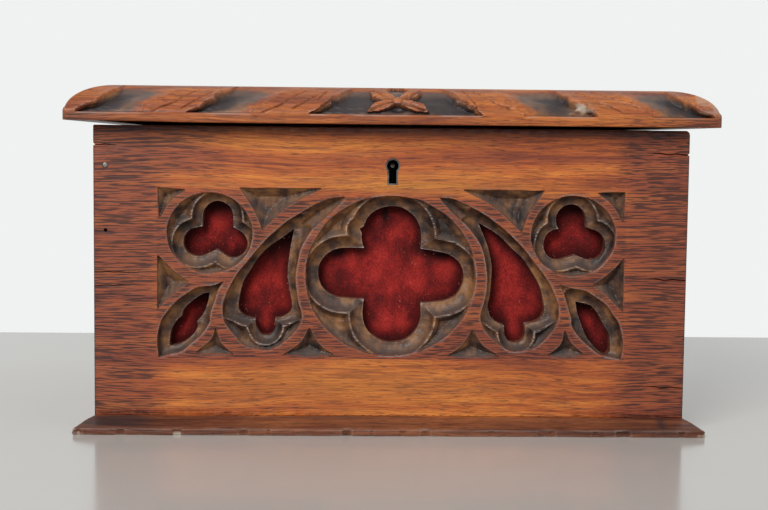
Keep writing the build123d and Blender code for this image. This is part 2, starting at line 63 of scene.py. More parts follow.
eye = Vector((-23.5, -828.0, 151.6)) * MM
pitch, yaw, roll = (math.radians(a) for a in (4.775, 1.532, 0.61))
forward = Vector((math.sin(yaw) * math.cos(pitch), math.cos(yaw) * math.cos(pitch), -math.sin(pitch)))
level_right = Vector((math.cos(yaw), -math.sin(yaw), 0))
level_up = level_right.cross(forward)
camera_right = math.cos(roll) * level_right + math.sin(roll) * level_up
camera_up = -math.sin(roll) * level_right + math.cos(roll) * level_up
camera = place_object("camera", bpy.data.cameras.new("camera"))
camera.data.lens = 67.97
camera.data.sensor_width = 36
turn = Matrix((camera_right, camera_up, -forward)).transposed().to_4x4()
camera.matrix_world = Matrix.Translation(eye) @ turn
scene = bpy.context.scene
scene.camera = camera
scene.view_settings.view_transform = "Standard"
print("camera", tuple(round(v, 3) for v in camera.location))


# %% [markdown]
# ## One way to write materials
# Colours are written as they are seen, in sRGB hex, and turned to linear by one function. One
# function adds a node: an input that is a node or a socket is linked, and any other value is set.
# %% Colour and node helpers
def linear(colour):
    """A six-digit sRGB colour as linear RGBA."""
    parts = [int(colour[i : i + 2], 16) / 255 for i in (0, 2, 4)]
    return (*[c / 12.92 if c <= 0.04045 else ((c + 0.055) / 1.055) ** 2.4 for c in parts], 1.0)


def add(tree, kind, inputs=None, stops=None, **settings):
    """Add one node. A ramp's stops are pairs of a place and a colour."""
    node = tree.nodes.new(kind)
    for key, value in settings.items():
        setattr(node, key, value)
    if stops:
        while len(node.color_ramp.elements) < len(stops):
            node.color_ramp.elements.new(0.5)
        for element, (place, colour) in zip(node.color_ramp.elements, stops):
            element.position, element.color = place, linear(colour)
    for key, value in (inputs or {}).items():
        if isinstance(value, bpy.types.Node):
            value = next(socket for socket in value.outputs if socket.enabled)
        if isinstance(value, bpy.types.NodeSocket):
            tree.links.new(value, node.inputs[key])
        else:
            node.inputs[key].default_value = value
    return node


def new_material(name):
    material = bpy.data.materials.new(name)
    material.use_nodes = True
    material.node_tree.nodes.clear()
    return material, material.node_tree


# The pale of rubbed wax is also a painted highlight on sharp edges
print("rubbed wax is", tuple(round(part, 3) for part in linear("BFAFA5")), "in linear light")

# %% [markdown]
# ## Floor and light
# A pale, lightly polished floor ends behind the box, where a pale wall takes over. A soft lamp like
# a window stands in front on the upper left, and a weaker one on the right. The sky shows the
# camera the wall, and lights the wood at a plain level so colours come out about as written.
# %% Floor, lamps and sky
floor_mesh = bpy.data.meshes.new("floor")
floor_mesh.from_pydata([(-4, -3, 0), (4, -3, 0), (4, 0.26, 0), (-4, 0.26, 0)], [], [(0, 1, 2, 3)])
floor = place_object("floor", floor_mesh)
painted_floor, tree = new_material("polished_pale_floor")
place = add(tree, "ShaderNodeTexCoord").outputs["Object"]
cloud = add(tree, "ShaderNodeTexNoise", {"Vector": place, "Scale": 3.0, "Detail": 3.0})
tone = add(tree, "ShaderNodeValToRGB", {"Fac": cloud}, [(0.3, "B2AFAA"), (0.7, "BDBAB5")])
paint = add(tree, "ShaderNodeBsdfPrincipled", {"Base Color": tone, "Roughness": 0.16})
add(tree, "ShaderNodeOutputMaterial", {"Surface": paint})
floor_mesh.materials.append(painted_floor)


def soft_lamp(name, place, aim, width, watts):
    lamp = bpy.data.lights.new(name, "AREA")
    lamp.size, lamp.energy = width, watts
    holder = place_object(name, lamp)
    holder.location = place
    holder.rotation_euler = (Vector(aim) - Vector(place)).to_track_quat("-Z", "Y").to_euler()


box_middle = (0, 0, 0.08)
soft_lamp("window", (-0.75, -1.5, 1.15), box_middle, 0.9, 30)
soft_lamp("fill", (1.3, -1.1, 0.7), box_middle, 1.2, 6)

sky = bpy.data.worlds.new("pale_room")
scene.world = sky
sky.use_nodes = True
tree = sky.node_tree
tree.nodes.clear()
rays, seen = add(tree, "ShaderNodeLightPath"), 0.0
for kind in ("Is Camera Ray", "Is Transmission Ray", "Is Glossy Ray"):
    seen = add(tree, "ShaderNodeMath", {0: rays.outputs[kind], 1: seen}, operation="ADD")
lit = add(tree, "ShaderNodeBackground", {"Color": linear("F4F5F6"), "Strength": 0.42})
shown = add(tree, "ShaderNodeBackground", {"Color": linear("F0F2F1"), "Strength": 1.0})
both = add(tree, "ShaderNodeMixShader", {0: seen, 1: lit, 2: shown})
add(tree, "ShaderNodeOutputWorld", {"Surface": both})
print("lamps", [light.name for light in bpy.data.lights])


# %% [markdown]
# ## Oak
# The box is oak, sawn flat, stained and waxed long ago. Oak shows long soft bands of growth, fine
# fibres and, most of all, short dark pores a few millimetres long that run with the grain. The
# stain has gone orange where hands and light wore it, and stays brown-black in the carving. All
# patterns read Object coordinates in millimetres, so they keep their true size on every piece.
#
# The wear and the painted light lie in layers over the stain. Each layer is a share, from a pattern
# or from an attribute that the shape gives later: rib (aged or golden), sunk (carved floor, greyed
# by a painted reflection of the sky where it faces up), bare (pale wood, or blackened wood, painted
# shade and painted shadow) and cavity (painted shade in corners, rubbed wax and a painted highlight
# on arrises).
# %% Oak finish
# Each streak's length and width in mm, and its detail
STREAKS = {
    "growth": (230, 7.0, 2.0),
    "tint": (55, 2.2, 2.0),
    "fibre": (24, 0.7, 3.0),
    "pores": (6.5, 0.42, 1.0),
    "lines": (16, 0.62, 1.0),
    "blotch": (75, 26, 2.0),
}


def oak(name, turned_grain, dark, middle, light, pore, aged):
    """Stained and waxed oak with its grain along X, or along Y where it is turned."""
    material, tree = new_material(name)

    def mixture(start, *parts):
        """A weighted sum of patterns."""
        for pattern, share in parts:
            start = add(tree, "ShaderNodeMath", {0: pattern, 1: share, 2: start}, operation="MULTIPLY_ADD")
        return start

    place = add(tree, "ShaderNodeTexCoord").outputs["Object"]
    to_grain = {"Vector": place, "Rotation": (0, 0, math.pi / 2 * turned_grain), "Scale": (1000, 1000, 1000)}
    millimetres = add(tree, "ShaderNodeMapping", to_grain)
    # The grain wanders a few millimetres over a hand's width
    drift = add(tree, "ShaderNodeTexNoise", {"Vector": millimetres, "Scale": 1 / 120, "Detail": 1.0})
    offset = add(
        tree, "ShaderNodeVectorMath", {0: drift.outputs["Color"], 1: (0, 10, 10)}, operation="MULTIPLY"
    )
    grain = add(tree, "ShaderNodeVectorMath", {0: millimetres, 1: offset}, operation="ADD")
    streak = {}
    for label, (long, wide, detail) in STREAKS.items():
        scaled = add(
            tree, "ShaderNodeVectorMath", {0: grain, 1: (1 / long, 1 / wide, 1 / wide)}, operation="MULTIPLY"
        )
        inputs = {"Vector": scaled, "Scale": 1.0, "Detail": detail, "Roughness": 0.6}
        streak[label] = add(tree, "ShaderNodeTexNoise", inputs)
    growth, tint, fibre, pores, lines, blotch = streak.values()
    rib, sunk, bare, cavity = (
        add(tree, "ShaderNodeAttribute", attribute_name=label).outputs["Fac"]
        for label in ("rib", "sunk", "bare", "cavity")
    )
    figure = mixture(0.0, (blotch, 0.16), (fibre, 0.22), (tint, 0.26), (growth, 0.36))
    stain = [(0.415, dark), (0.495, middle), (0.585, light)]
    colour = add(tree, "ShaderNodeValToRGB", {"Fac": figure}, stain)
    # The floor of the carving keeps the old brown stain, and a painted reflection of the sky greys what faces
    # up
    mottle = add(tree, "ShaderNodeTexNoise", {"Vector": millimetres, "Scale": 1 / 7, "Detail": 4.0})
    old_stain = [(0.4, "2A1F1B"), (0.49, "533829"), (0.6, "865C38")]
    hollow = add(tree, "ShaderNodeValToRGB", {"Fac": mixture(0.0, (blotch, 0.4), (mottle, 0.6))}, old_stain)
    facing = add(tree, "ShaderNodeNewGeometry").outputs["Normal"]
    upward = add(tree, "ShaderNodeSeparateXYZ", {"Vector": facing}).outputs["Z"]
    inputs = {"Value": upward, "From Min": 0.15, "From Max": 0.8, "To Max": 0.7}
    painted_sky_reflection = add(tree, "ShaderNodeMapRange", inputs)
    hollow = add(tree, "ShaderNodeMix", {0: painted_sky_reflection, 6: hollow, 7: linear("544A46")}, data_type="RGBA")
    # Dark lines are stronger where the wood has aged, bare wood shows in patches, and rubbed wax with its
    # painted highlight shows in broken lines
    older = add(tree, "ShaderNodeMapRange", {"Value": rib, "From Max": 0.7})
    patches = add(tree, "ShaderNodeMapRange", {"Value": mottle, "From Min": 0.3, "From Max": 0.5})
    inputs = {"Value": lines, "From Min": 0.42, "From Max": 0.56, "To Max": 0.72}
    wax_and_highlight = add(tree, "ShaderNodeMapRange", inputs)
    # Each layer: what it follows, where it starts and is whole, how strong it gets, and its colour
    layers = [
        (rib, 0, 1, 1.0, linear(aged)),
        (rib, 0, -1, 0.8, linear("CB8438")),
        (tint, 0.52, 0.64, 0.55, linear(aged)),
        (mixture(lines, (older, 0.06)), 0.54, 0.61, mixture(0.35, (older, 0.55)), linear(pore)),
        (pores, 0.6, 0.68, 0.6, linear(pore)),
        (sunk, 0, 1, 1.0, hollow),
        (bare, 0.15, 0.6, patches, linear("B8AC9C")),
        # Below zero, bare is blackened wood, painted shade and painted shadow
        (bare, -0.1, -1, 0.85, linear("242226")),
        # Above zero, cavity is near-black painted shade in hollow corners
        (cavity, 0.06, 0.75, 0.9, linear("17110E")),
        # Below zero, cavity is rubbed wax and a painted highlight on sharp edges
        (cavity, -0.12, -0.6, wax_and_highlight, linear("BFAFA5")),
    ]
    for value, low, high, most, over in layers:
        inputs = {"Value": value, "From Min": low, "From Max": high, "To Max": most}
        share = add(tree, "ShaderNodeMapRange", inputs)
        colour = add(tree, "ShaderNodeMix", {0: share, 6: colour, 7: over}, data_type="RGBA")
    relief = mixture(fibre, (pores, -0.7), (lines, -0.9))
    bump = add(tree, "ShaderNodeBump", {"Height": relief, "Strength": 0.4, "Distance": 0.0004})
    gloss = add(tree, "ShaderNodeMapRange", {"Value": figure, "From Min": 0.3, "From Max": 0.7})
    gloss = add(
        tree, "ShaderNodeMapRange", {"Value": mixture(gloss, (sunk, -0.14)), "To Min": 0.32, "To Max": 0.58}
    )
    inputs = {"Base Color": colour, "Roughness": gloss, "Normal": bump, "Specular IOR Level": 0.32}
    wood = add(tree, "ShaderNodeBsdfPrincipled", inputs)
    add(tree, "ShaderNodeOutputMaterial", {"Surface": wood})
    return material


ALONG_X, ALONG_Y = 0, 1
waxed_carved_oak = oak("waxed_carved_oak", ALONG_X, "7A3A26", "AC5829", "CE7C36", "3A1E1A", "80402C")
waxed_lid_oak = oak("waxed_lid_oak", ALONG_X, "6E3522", "9C5226", "BE7032", "2C1915", "6E3A2A")
waxed_strip_oak = oak("waxed_strip_oak", ALONG_X, "43241A", "683A26", "8A5232", "221512", "4A2A24")
plain_oak_across = oak("stained_oak_across", ALONG_X, "6A3824", "925028", "B06C34", "331C17", "6E3A2A")
plain_oak_deep = oak("stained_oak_deep", ALONG_Y, "6A3824", "925028", "B06C34", "331C17", "6E3A2A")
print("oak", len(waxed_carved_oak.node_tree.nodes), "nodes each")


# %% [markdown]
# ## Outlines of the tracery
# The front is one oak board. Its tracery was drawn with compasses, sawn through and then carved
# down in hollows. It could be cut with booleans, but then each hollow would meet its neighbour in
# ragged slivers. So the outlines are drawn as curves, and the carving is a depth that depends on
# the distance to them, which is how a carver's gouge runs along a line.
# %% Curve helpers
def divided(outline, step=0.5):
    """The same closed outline with points at most a step apart."""
    out = []
    for p, q in zip(outline, np.roll(outline, -1, axis=0)):
        count = max(1, math.ceil(np.hypot(*(q - p)) / step))
        out.append(p + (q - p) * np.arange(count)[:, None] / count)
    return np.vstack(out)


def smooth_outline(points, corners=()):
    """A closed curve through points, sharp at the corners whose numbers are given."""
    points = np.array(points, float)
    n, out = len(points), []
    for i in range(n):
        p0, p1, p2, p3 = (points[(i + k) % n] for k in (-1, 0, 1, 2))
        if i in corners:
            p0 = 2 * p1 - p2
        if (i + 1) % n in corners:
            p3 = 2 * p2 - p1
        t = np.arange(8)[:, None] / 8
        out.append(
            0.5 * (2 * p1 + (p2 - p0) * t + (2 * p0 - 5 * p1 + 4 * p2 - p3) * t**2)
            + 0.5 * (3 * p1 - p0 - 3 * p2 + p3) * t**3
        )
    return divided(np.vstack(out))


def oval(x, z, half_width, half_height):
    turn = np.linspace(0, 2 * math.pi, 120, endpoint=False)
    return divided(np.column_stack((x + half_width * np.cos(turn), z + half_height * np.sin(turn))))


def foiled(lobes, cusps):
    """Round lobes (across, up, radius) with a cusp before each one, anticlockwise."""
    cusps = [np.array(c, float) for c in cusps]
    for x, z, r in lobes:
        for i, cusp in enumerate(cusps):
            away = cusp - (x, z)
            if np.hypot(*away) < r:
                cusps[i] = (x, z) + away * (r + 0.01) / np.hypot(*away)
    out = []
    for k, (x, z, r) in enumerate(lobes):
        ends = []
        for cusp, way in ((cusps[k], 1), (cusps[(k + 1) % len(cusps)], -1)):
            away = cusp - (x, z)
            ends.append(math.atan2(away[1], away[0]) + way * math.acos(min(1, r / np.hypot(*away))))
        turn = ends[0] + np.linspace(0, (ends[1] - ends[0]) % (2 * math.pi), 60)
        out.append(cusps[k][None])
        out.append(np.column_stack((x + r * np.cos(turn), z + r * np.sin(turn))))
    return divided(np.vstack(out))


print("a circle of 10 mm is", len(oval(0, 0, 5, 5)), "points")


# %% [markdown]
# Nothing cut by hand is quite true, so the outlines wander a little. Everything that follows asks
# how far a point lies from an outline, so that is one function too.
# %% Wander and distance
def ripple(points, wave, seed):
    """A smooth random number, about -1 to 1, at each point, from six waves of about that length."""
    draw = np.random.default_rng(seed)
    total = np.zeros(len(points))
    for _ in range(6):
        angle, phase = draw.uniform(0, 2 * math.pi, 2)
        along = points[:, 0] * math.cos(angle) + points[:, 1] * math.sin(angle)
        total += np.sin(along * 2 * math.pi / (wave * draw.uniform(0.7, 1.4)) + phase)
    return total / 3


def by_hand(outline, seed):
    """The outline as a hand cuts it, up to a fifth of a millimetre off the line."""
    wander = np.column_stack((ripple(outline, 13, seed), ripple(outline, 13, seed + 50)))
    return outline + 0.16 * wander


def distance(outline, points):
    """Distance in mm of points to a closed outline, positive inside, and the nearest points on it."""
    best = np.full(len(points), 1e9)
    near = np.zeros((len(points), 2))
    inside = np.zeros(len(points), bool)
    for p, q in zip(outline, np.roll(outline, -1, axis=0)):
        edge, way = q - p, points - p
        t = np.clip(way @ edge / max(edge @ edge, 1e-12), 0, 1)[:, None]
        foot = p + t * edge
        gap = ((points - foot) ** 2).sum(1)
        closer = gap < best
        best[closer], near[closer] = gap[closer], foot[closer]
        if p[1] != q[1]:
            spans = (p[1] > points[:, 1]) != (q[1] > points[:, 1])
            inside ^= spans & (points[:, 0] < p[0] + (points[:, 1] - p[1]) * edge[0] / edge[1])
    return np.where(inside, 1, -1) * np.sqrt(best), near


print("5 mm in from the edge:", distance(oval(0, 0, 10, 10), np.array([[5.0, 0.0]]))[0].round(2))

# %% [markdown]
# The fields are the places that the carver sank, and most have an opening sawn through them. Each
# is measured in mm from the middle of the panel and up from its lower edge. The right half of the
# panel has the same pattern, with its own small slips of the hand.
# %% Openings of the left half and the middle
quatrefoil = foiled(
    [(24.5, 71.2, 12.7), (0, 92, 15.3), (-24.5, 72.9, 12.8), (0.5, 52, 15)],
    [(15.4, 57.5), (15, 85.5), (-13.1, 86.3), (-13.9, 59.1)],
)
trefoil = foiled(
    [(-88.2, 101.5, 7.7), (-98.4, 88.2, 7.4), (-80.3, 87.5, 7.2)],
    [(-80.4, 96.1), (-96.2, 96.1), (-88.8, 84.4)],
)
right_trefoil = foiled(
    [(91.5, 101.2, 7.8), (85.3, 88.4, 7.9), (101.6, 88.4, 7.9)],
    [(100.0, 97.0), (85.2, 96.6), (94.4, 83.0)],
)
mouchette_field = smooth_outline(
    [(-23.5, 112.2), (-31, 111.3), (-39.1, 108), (-48.8, 102.4), (-56.9, 96.3), (-66.1, 87.5)]
    + [(-72.4, 79.9), (-77.6, 73.4), (-81.7, 66.5), (-84.5, 60), (-85.4, 54.2), (-84.5, 48.3)]
    + [(-80.5, 42.5), (-74, 36.1), (-64.2, 33.8), (-60.1, 34.5), (-54.9, 37.4), (-49.1, 42.8)]
    + [(-45.7, 48.6), (-45.4, 53.3), (-46.9, 58.6), (-48.1, 64.4), (-48.4, 71.4), (-47.5, 78.4)]
    + [(-45.9, 85.4), (-43, 91.2), (-38.4, 97), (-32.7, 102.3), (-28.9, 105.8)],
    corners=(0,),
)
mouchette_opening = smooth_outline(
    [(-49.4, 95.2), (-56.9, 90), (-63.8, 84.6), (-70.1, 77), (-74.7, 69.4), (-76.7, 64.2)]
    + [(-77.9, 58.4), (-77.6, 53.6), (-75.2, 50.7), (-72.3, 49.6), (-69.2, 48.7), (-68.8, 45.5)]
    + [(-66.5, 41.4), (-63.6, 40.3), (-60.7, 41.5), (-58.7, 45), (-59, 49.1), (-54.4, 50.3)]
    + [(-51.2, 53.3), (-50.6, 57.9), (-51.8, 63.7), (-52.7, 71.4), (-52.5, 78.4), (-51.4, 85.3)],
    corners=(0, 10, 16),
)
right_mouchette = smooth_outline(
    [(44.0, 99.4), (53.7, 93.5), (60.7, 87.0), (67.7, 80.5), (73.0, 72.9), (76.8, 65.2), (78.6, 57.0)]
    + [(78.6, 52.5), (76.5, 49.5), (72.6, 48.0), (68.9, 47.2), (68.9, 41.4), (67.1, 38.5), (63.6, 37.6)]
    + [(60.1, 38.7), (58.6, 41.7), (58.1, 46.4), (53.7, 48.7), (51.0, 51.1), (49.9, 56.4), (50.7, 62.3)]
    + [(51.2, 71.0), (51.0, 78.8), (48.6, 88.6)],
    corners=(0, 10, 16),
)
leaf_field = smooth_outline(
    [(-84.4, 69.2), (-90.1, 66.8), (-97.2, 65.9), (-102.1, 63.4), (-106.7, 60.5), (-110.2, 57.2)]
    + [(-113.1, 53.3), (-115.6, 50.1), (-117.3, 45.8), (-118.4, 40.4), (-118.4, 35), (-117.7, 30)]
    + [(-107.8, 32.2), (-102.1, 35.9), (-96.5, 40.9), (-92.2, 46.7), (-91.5, 51.7), (-89, 59.5)]
    + [(-87.3, 64.6)],
    corners=(0, 11),
)
leaf_opening = smooth_outline(
    [(-92.6, 62.4), (-95.8, 61.6), (-100, 59.1), (-104.2, 55.5), (-106.3, 51.9), (-106.7, 50.2)]
    + [(-108.8, 48.4), (-110.9, 45.1), (-112.4, 41.1), (-112.9, 36.5), (-112.1, 34.9), (-107.8, 35.8)]
    + [(-103.5, 38.3), (-100.3, 41.6), (-98.6, 44.9), (-98.7, 47.7), (-96.5, 49.9), (-94.7, 53.1)]
    + [(-93.6, 56.7), (-92.9, 59.5)],
    corners=(0, 5, 10, 15),
)
right_leaf = smooth_outline(
    [(94.7, 59.3), (101.7, 57.6), (106.4, 52.9), (109.9, 46.4), (112.8, 41.7), (113.1, 34.6), (111.4, 31.6)]
    + [(107.4, 33.4), (102.0, 38.9), (98.6, 45.2), (96.2, 52.3)],
    corners=(0, 6),
)
print("mouchette", len(mouchette_field), "points, its opening", len(mouchette_opening))

# %% [markdown]
# A spandrel is what is left between two ribs. It is only a shallow pit, with two or three straight
# sides and one that bows.
# %% Spandrels, and all fields together
# Each with the numbers of its sharp corners
spandrels = [
    ([(-118.2, 116.0), (-117.4, 99.4), (-111.6, 108.6), (-103.0, 115.4)], (0, 1, 3)),
    ([(-118.2, 82.4), (-118.2, 54.2), (-110.2, 62.2), (-102.2, 68.4), (-110.4, 74.6)], (0, 1, 3)),
    ([(-77.6, 116.2), (-70.6, 106.4), (-65.4, 94.6), (-51.6, 107.4), (-34.0, 116.4)], (0, 2, 4)),
    ([(-88.8, 46.2), (-91.6, 39.2), (-99.2, 32.0), (-79.2, 31.4), (-86.0, 37.6)], (0, 2, 3)),
    ([(-41.4, 45.6), (-46.4, 37.8), (-55.6, 31.0), (-28.0, 31.0), (-36.2, 37.2)], (0, 2, 3)),
]


def carved(field, hole, deep, run=0, foot=0, tip=999):
    """A field: its outline and opening, depths in mm, and the heights where foot and tip begin."""
    return dict(field=field, hole=hole, deep=deep, run=run, foot=foot, tip=tip)


fields = [carved(oval(-0.5, 72, 43.2, 40.9), quatrefoil, 7.4, 6.5)]
left_openings = (trefoil, mouchette_opening, leaf_opening)
right_openings = (right_trefoil, right_mouchette, right_leaf)
for side, sawn in ((-1, left_openings), (1, right_openings)):
    # The outlines are drawn on the left, and turned over for the right half
    facing, order = (-side, 1), -side
    fields.append(carved(oval(side * 91.9, 93.2, 21.6, 20.5), sawn[0], 6.2, 4.9))
    fields.append(carved(mouchette_field[::order] * facing, sawn[1], 7.2, 9, foot=52, tip=80))
    fields.append(carved(leaf_field[::order] * facing, sawn[2], 6.4, 8, tip=0))
    for corners, sharp in spandrels:
        fields.append(carved(smooth_outline(corners, sharp)[::order] * facing, None, 4.4))
for number, item in enumerate(fields):
    item["field"] = by_hand(item["field"], 100 + number)
    if item["hole"] is not None:
        item["hole"] = by_hand(item["hole"], 200 + number)
# A splinter has gone from the quatrefoil beside its upper left cusp
bite = np.exp(-((fields[0]["hole"] - (-15.2, 95.2)) ** 2).sum(1) / 1.3)
fields[0]["hole"] = fields[0]["hole"] + bite[:, None] * (-1.5, 0.3)
print("fields", len(fields), "of which pierced", sum(item["hole"] is not None for item in fields))

# %% [markdown]
# ## Depth of the carving
# Round each opening runs a hollow, deep at the opening and rising to a narrow lip. Outside the lip
# the corners of the field are small pits. At the tips of the mouchettes the two sides meet in a V.
# %% Depth of one field
# Depth of a hollow's lip and width of the arris along a field's edge, in mm
LIP, ARRIS = 1.2, 0.6


def rise(x):
    """A smooth step from 0 to 1."""
    x = np.clip(x, 0, 1)
    return x * x * (3 - 2 * x)


def soft_spot(across, up, x, z, wide, tall):
    """A round patch that fades out, 1 in its middle."""
    return np.exp(-(((across - x) / wide) ** 2) - ((up - z) / tall) ** 2)


def hollow_run(item, points):
    """How far the hollow runs out from its opening, narrower round the foot of a mouchette."""
    return item["run"] + (3.7 - item["run"]) * rise((item["foot"] - points[:, 1]) / 5)


def field_depth(item, points):
    """Depth in mm below the face at points, zero outside the field."""
    inside, _ = distance(item["field"], points)
    f = np.maximum(inside, 0)
    if item["hole"] is None:
        depth = np.minimum(0.95 * f, item["deep"]) + 0.5 * rise(f / 0.4)
        # A gouge stabbed dark lines down the middle of each pit
        depth += 0.3 * rise((f - 1.2) / 1.5) * np.maximum(ripple(points * (1, 0.3), 2.4, 17), 0)
    else:
        o = np.maximum(-distance(item["hole"], points)[0], 0)
        run = hollow_run(item, points)
        lip = LIP + 0.3 * ripple(points, 8, 23)
        t = np.clip(o / np.maximum(np.minimum(run, o + f), 1e-6), 0, 1)
        cove = lip + (item["deep"] - lip) * (1 - t * t) ** 0.6
        beyond = np.maximum(o - run - 0.7, 0)
        pit = lip + np.minimum(np.minimum(1.4 * beyond, 1.0 * np.maximum(f - 0.3, 0)), 3.6)
        depth = np.where(o < run, cove, pit)
        tip = rise((points[:, 1] - item["tip"]) / 6)
        depth = np.maximum(depth, tip * np.minimum(1.2 * f, item["deep"] - 0.5))
        depth = depth * (0.15 + 0.85 * rise(f / ARRIS))
    tool = 0.1 * ripple(points, 3.2, 7) + 0.12 * ripple(points, 9, 8)
    return np.where(inside > 0, np.maximum(depth + tool * rise(f), 0), 0)


print("middle of the first spandrel", field_depth(fields[4], np.array([[-114.0, 112.0]])).round(1), "mm deep")

# %% [markdown]
# The board has dried out. Splits run in along the grain from both ends, and its edges are rounded
# by half a millimetre.
# %% Depth of the whole front
panel_half, panel_tall, panel_thick, panel_foot = 150.0, 146.9, 14.0, 7.8
front_y, edge_round = -98.0, 0.55
# Each split from its one end to its other, and half its width at the panel's end
splits = [
    ((128.5, 135.4), (150, 134.9), 0.30),
    ((128.0, 71.6), (150, 71.1), 0.34),
    ((127.5, 16.3), (150, 15.8), 0.30),
    ((-150, 137.2), (-138, 137.0), 0.16),
    ((-149.9, 73.2), (-127, 72.9), 0.22),
    ((-149.9, 66.3), (-131, 66.5), 0.14),
]


def split_line(split, t):
    """Length and height of a split at shares t of its length, and how open it is there."""
    (x0, z0), (x1, z1), _ = split
    x = x0 + (x1 - x0) * t
    wander = 0.25 * ripple(np.column_stack((x, np.zeros(len(x)))), 9, 31)
    return x, z0 + (z1 - z0) * t + wander, np.clip(3 * (t if x0 > 0 else 1 - t), 0, 1)


def face_depth(points):
    """Depth in mm of the whole front below its first plane."""
    across, up = points.T
    edge = np.clip(np.minimum(panel_half - np.abs(across), np.minimum(up, panel_tall - up)), 0, edge_round)
    depth = edge_round - np.sqrt(np.maximum(edge_round**2 - (edge_round - edge) ** 2, 0))
    for item in fields:
        low, high = item["field"].min(0) - 0.1, item["field"].max(0) + 0.1
        here = ((points > low) & (points < high)).all(1)
        depth[here] = np.maximum(depth[here], field_depth(item, points[here]))
    for split in splits:
        t = (across - split[0][0]) / (split[1][0] - split[0][0])
        _, middle, opened = split_line(split, t)
        inside = (t > 0) & (t < 1) & (np.abs(up - middle) < 0.02)
        depth[inside] = np.maximum(depth[inside], 1.6 * opened[inside])
    return depth


print("splits", len(splits))


# %% [markdown]
# ## Mesh of the front
# The points follow the outlines closely, fill the carving half a millimetre apart and thin out on
# the plain rails. One Delaunay triangulation joins them, with the outlines as edges that it must
# keep, so the arrises stay crisp where a plain grid would make steps.
# %% Points of the front
def lattice(low, high, step):
    """Points of a triangular lattice over a rectangle."""
    rows = np.arange(low[1], high[1] + step, step * 0.866)
    lines = []
    for number, height in enumerate(rows):
        across = np.arange(low[0] + (number % 2) * step / 2, high[0] + step, step)
        lines.append(np.column_stack((across, np.full(len(across), height))))
    return np.vstack(lines)


keyhole_turn = np.radians(np.linspace(-45, 225, 28))
keyhole = np.vstack(
    (
        np.column_stack((3.8 * np.cos(keyhole_turn), 127.8 + 3.8 * np.sin(keyhole_turn))),
        [(-2.7, 124.6), (-2.7, 118.1), (2.7, 118.1), (2.7, 124.6)],
    )
)
turn = np.linspace(0, 2 * math.pi, 20, endpoint=False)
round_hole = np.column_stack((np.cos(turn), np.sin(turn)))
nail_seat = (-144, 126.8) + 1.62 * round_hole
nail_hole = (-144, 94.2) + 0.95 * round_hole

loops = [item["hole"] for item in fields if item["hole"] is not None]
openings = list(loops)
loops += [divided(keyhole, 0.8), nail_seat, nail_hole]
# The right top corner is knocked round, and the splits end in small notches
corners = [(-150, 0), (150, 0), (150, 134.2), (149.2, 134.9), (150, 135.6), (150, 144.7), (149.5, 146.0)]
corners += [(148.4, 146.9), (-149.4, 146.9), (-150, 146.4), (-150, 138.0), (-149.1, 137.2), (-150, 136.4)]
perimeter = divided(np.array(corners, float), 3.0)
edges, points = [], []


def take(outline, closed=True):
    start = sum(len(p) for p in points)
    points.append(outline)
    count = len(outline)
    edges.extend((start + i, start + (i + 1) % count) for i in range(count if closed else count - 1))


for outline in loops + [item["field"] for item in fields] + [perimeter]:
    take(outline)
for split in splits:
    x, middle, opened = split_line(split, np.linspace(0.02, 0.995, 40))
    for up in (-1, 0, 1):
        take(np.column_stack((x, middle + up * (0.08 + split[2] * opened))), closed=False)
print("outlines", len(points), "with", len(edges), "edges")

# %% [markdown]
# The points between the outlines lie on a lattice. Where a hollow's lip runs, the nearest points
# are pulled onto it, so the lip is a line and not a row of teeth.
# %% Points between the outlines
fine, face_points = [], []
for item in fields:
    low, high = item["field"].min(0), item["field"].max(0)
    cloud = lattice(low, high, 0.52)
    f, _ = distance(item["field"], cloud)
    keep = f > 0.25
    cloud, f = cloud[keep], f[keep]
    if item["hole"] is not None:
        o, near = distance(item["hole"], cloud)
        keep = -o > 0.28
        cloud, near, o, f = cloud[keep], near[keep], -o[keep], f[keep]
        run = hollow_run(item, cloud)
        for target in (run, run + 0.7):
            snap = (np.abs(o - target) < 0.27) & (f > 0.6)
            away = (cloud - near) / np.maximum(o, 1e-6)[:, None]
            cloud[snap] = (near + away * target[:, None])[snap]
    fine.append(cloud)
    # A row of points just outside keeps the flat of the rib flat up to its arris
    ahead = np.roll(item["field"], -1, axis=0) - np.roll(item["field"], 1, axis=0)
    outward = np.column_stack((ahead[:, 1], -ahead[:, 0])) / np.hypot(*ahead.T)[:, None]
    inner = distance(item["field"], item["field"][:1] + outward[:1] * 0.3)[0][0] > 0
    face_points.append(item["field"] + outward * (-0.4 if inner else 0.4))
face_points.append(lattice((-119.5, 29), (119.5, 117.6), 1.5))
rails = lattice((-149, 1), (149, 146), 4.5)
beside = (np.abs(rails[:, 0]) >= 119) | (rails[:, 1] <= 29) | (rails[:, 1] >= 117.6)
face_points.append(rails[beside])
# One more row just inside the panel's edge rounds it
face_points.append(perimeter * (149.4 / 150, 145.7 / 146.9) + (0, 0.6))
cloud = np.vstack(face_points)
clear = np.ones(len(cloud), bool)
for item in fields:
    low, high = item["field"].min(0) - 1, item["field"].max(0) + 1
    here = ((cloud > low) & (cloud < high)).all(1)
    clear[here] &= distance(item["field"], cloud[here])[0] < -0.3
for loop in loops[-3:]:
    clear &= distance(loop, cloud)[0] < -0.4
across, up = cloud.T
for (x0, z0), (x1, z1), half in splits:
    clear &= (across <= x0 - 1) | (across >= x1 + 1) | (np.abs(up - (z0 + z1) / 2) >= half + 0.8)
points += fine + [cloud[clear]]
flat = np.vstack(points)
print("points", len(flat), "kept edges", len(edges))


# %% [markdown]
# The triangles inside the openings are thrown away. What is left gets walls from its free edges to
# the back, and a back with the same outlines, so the board is closed.
# %% Triangles of a flat face
def in_any(outlines, spots):
    hit = np.zeros(len(spots), bool)
    for outline in outlines:
        low, high = outline.min(0), outline.max(0)
        here = ((spots >= low) & (spots <= high)).all(1)
        if here.any():
            hit[here] |= distance(outline, spots[here])[0] > 0
    return hit


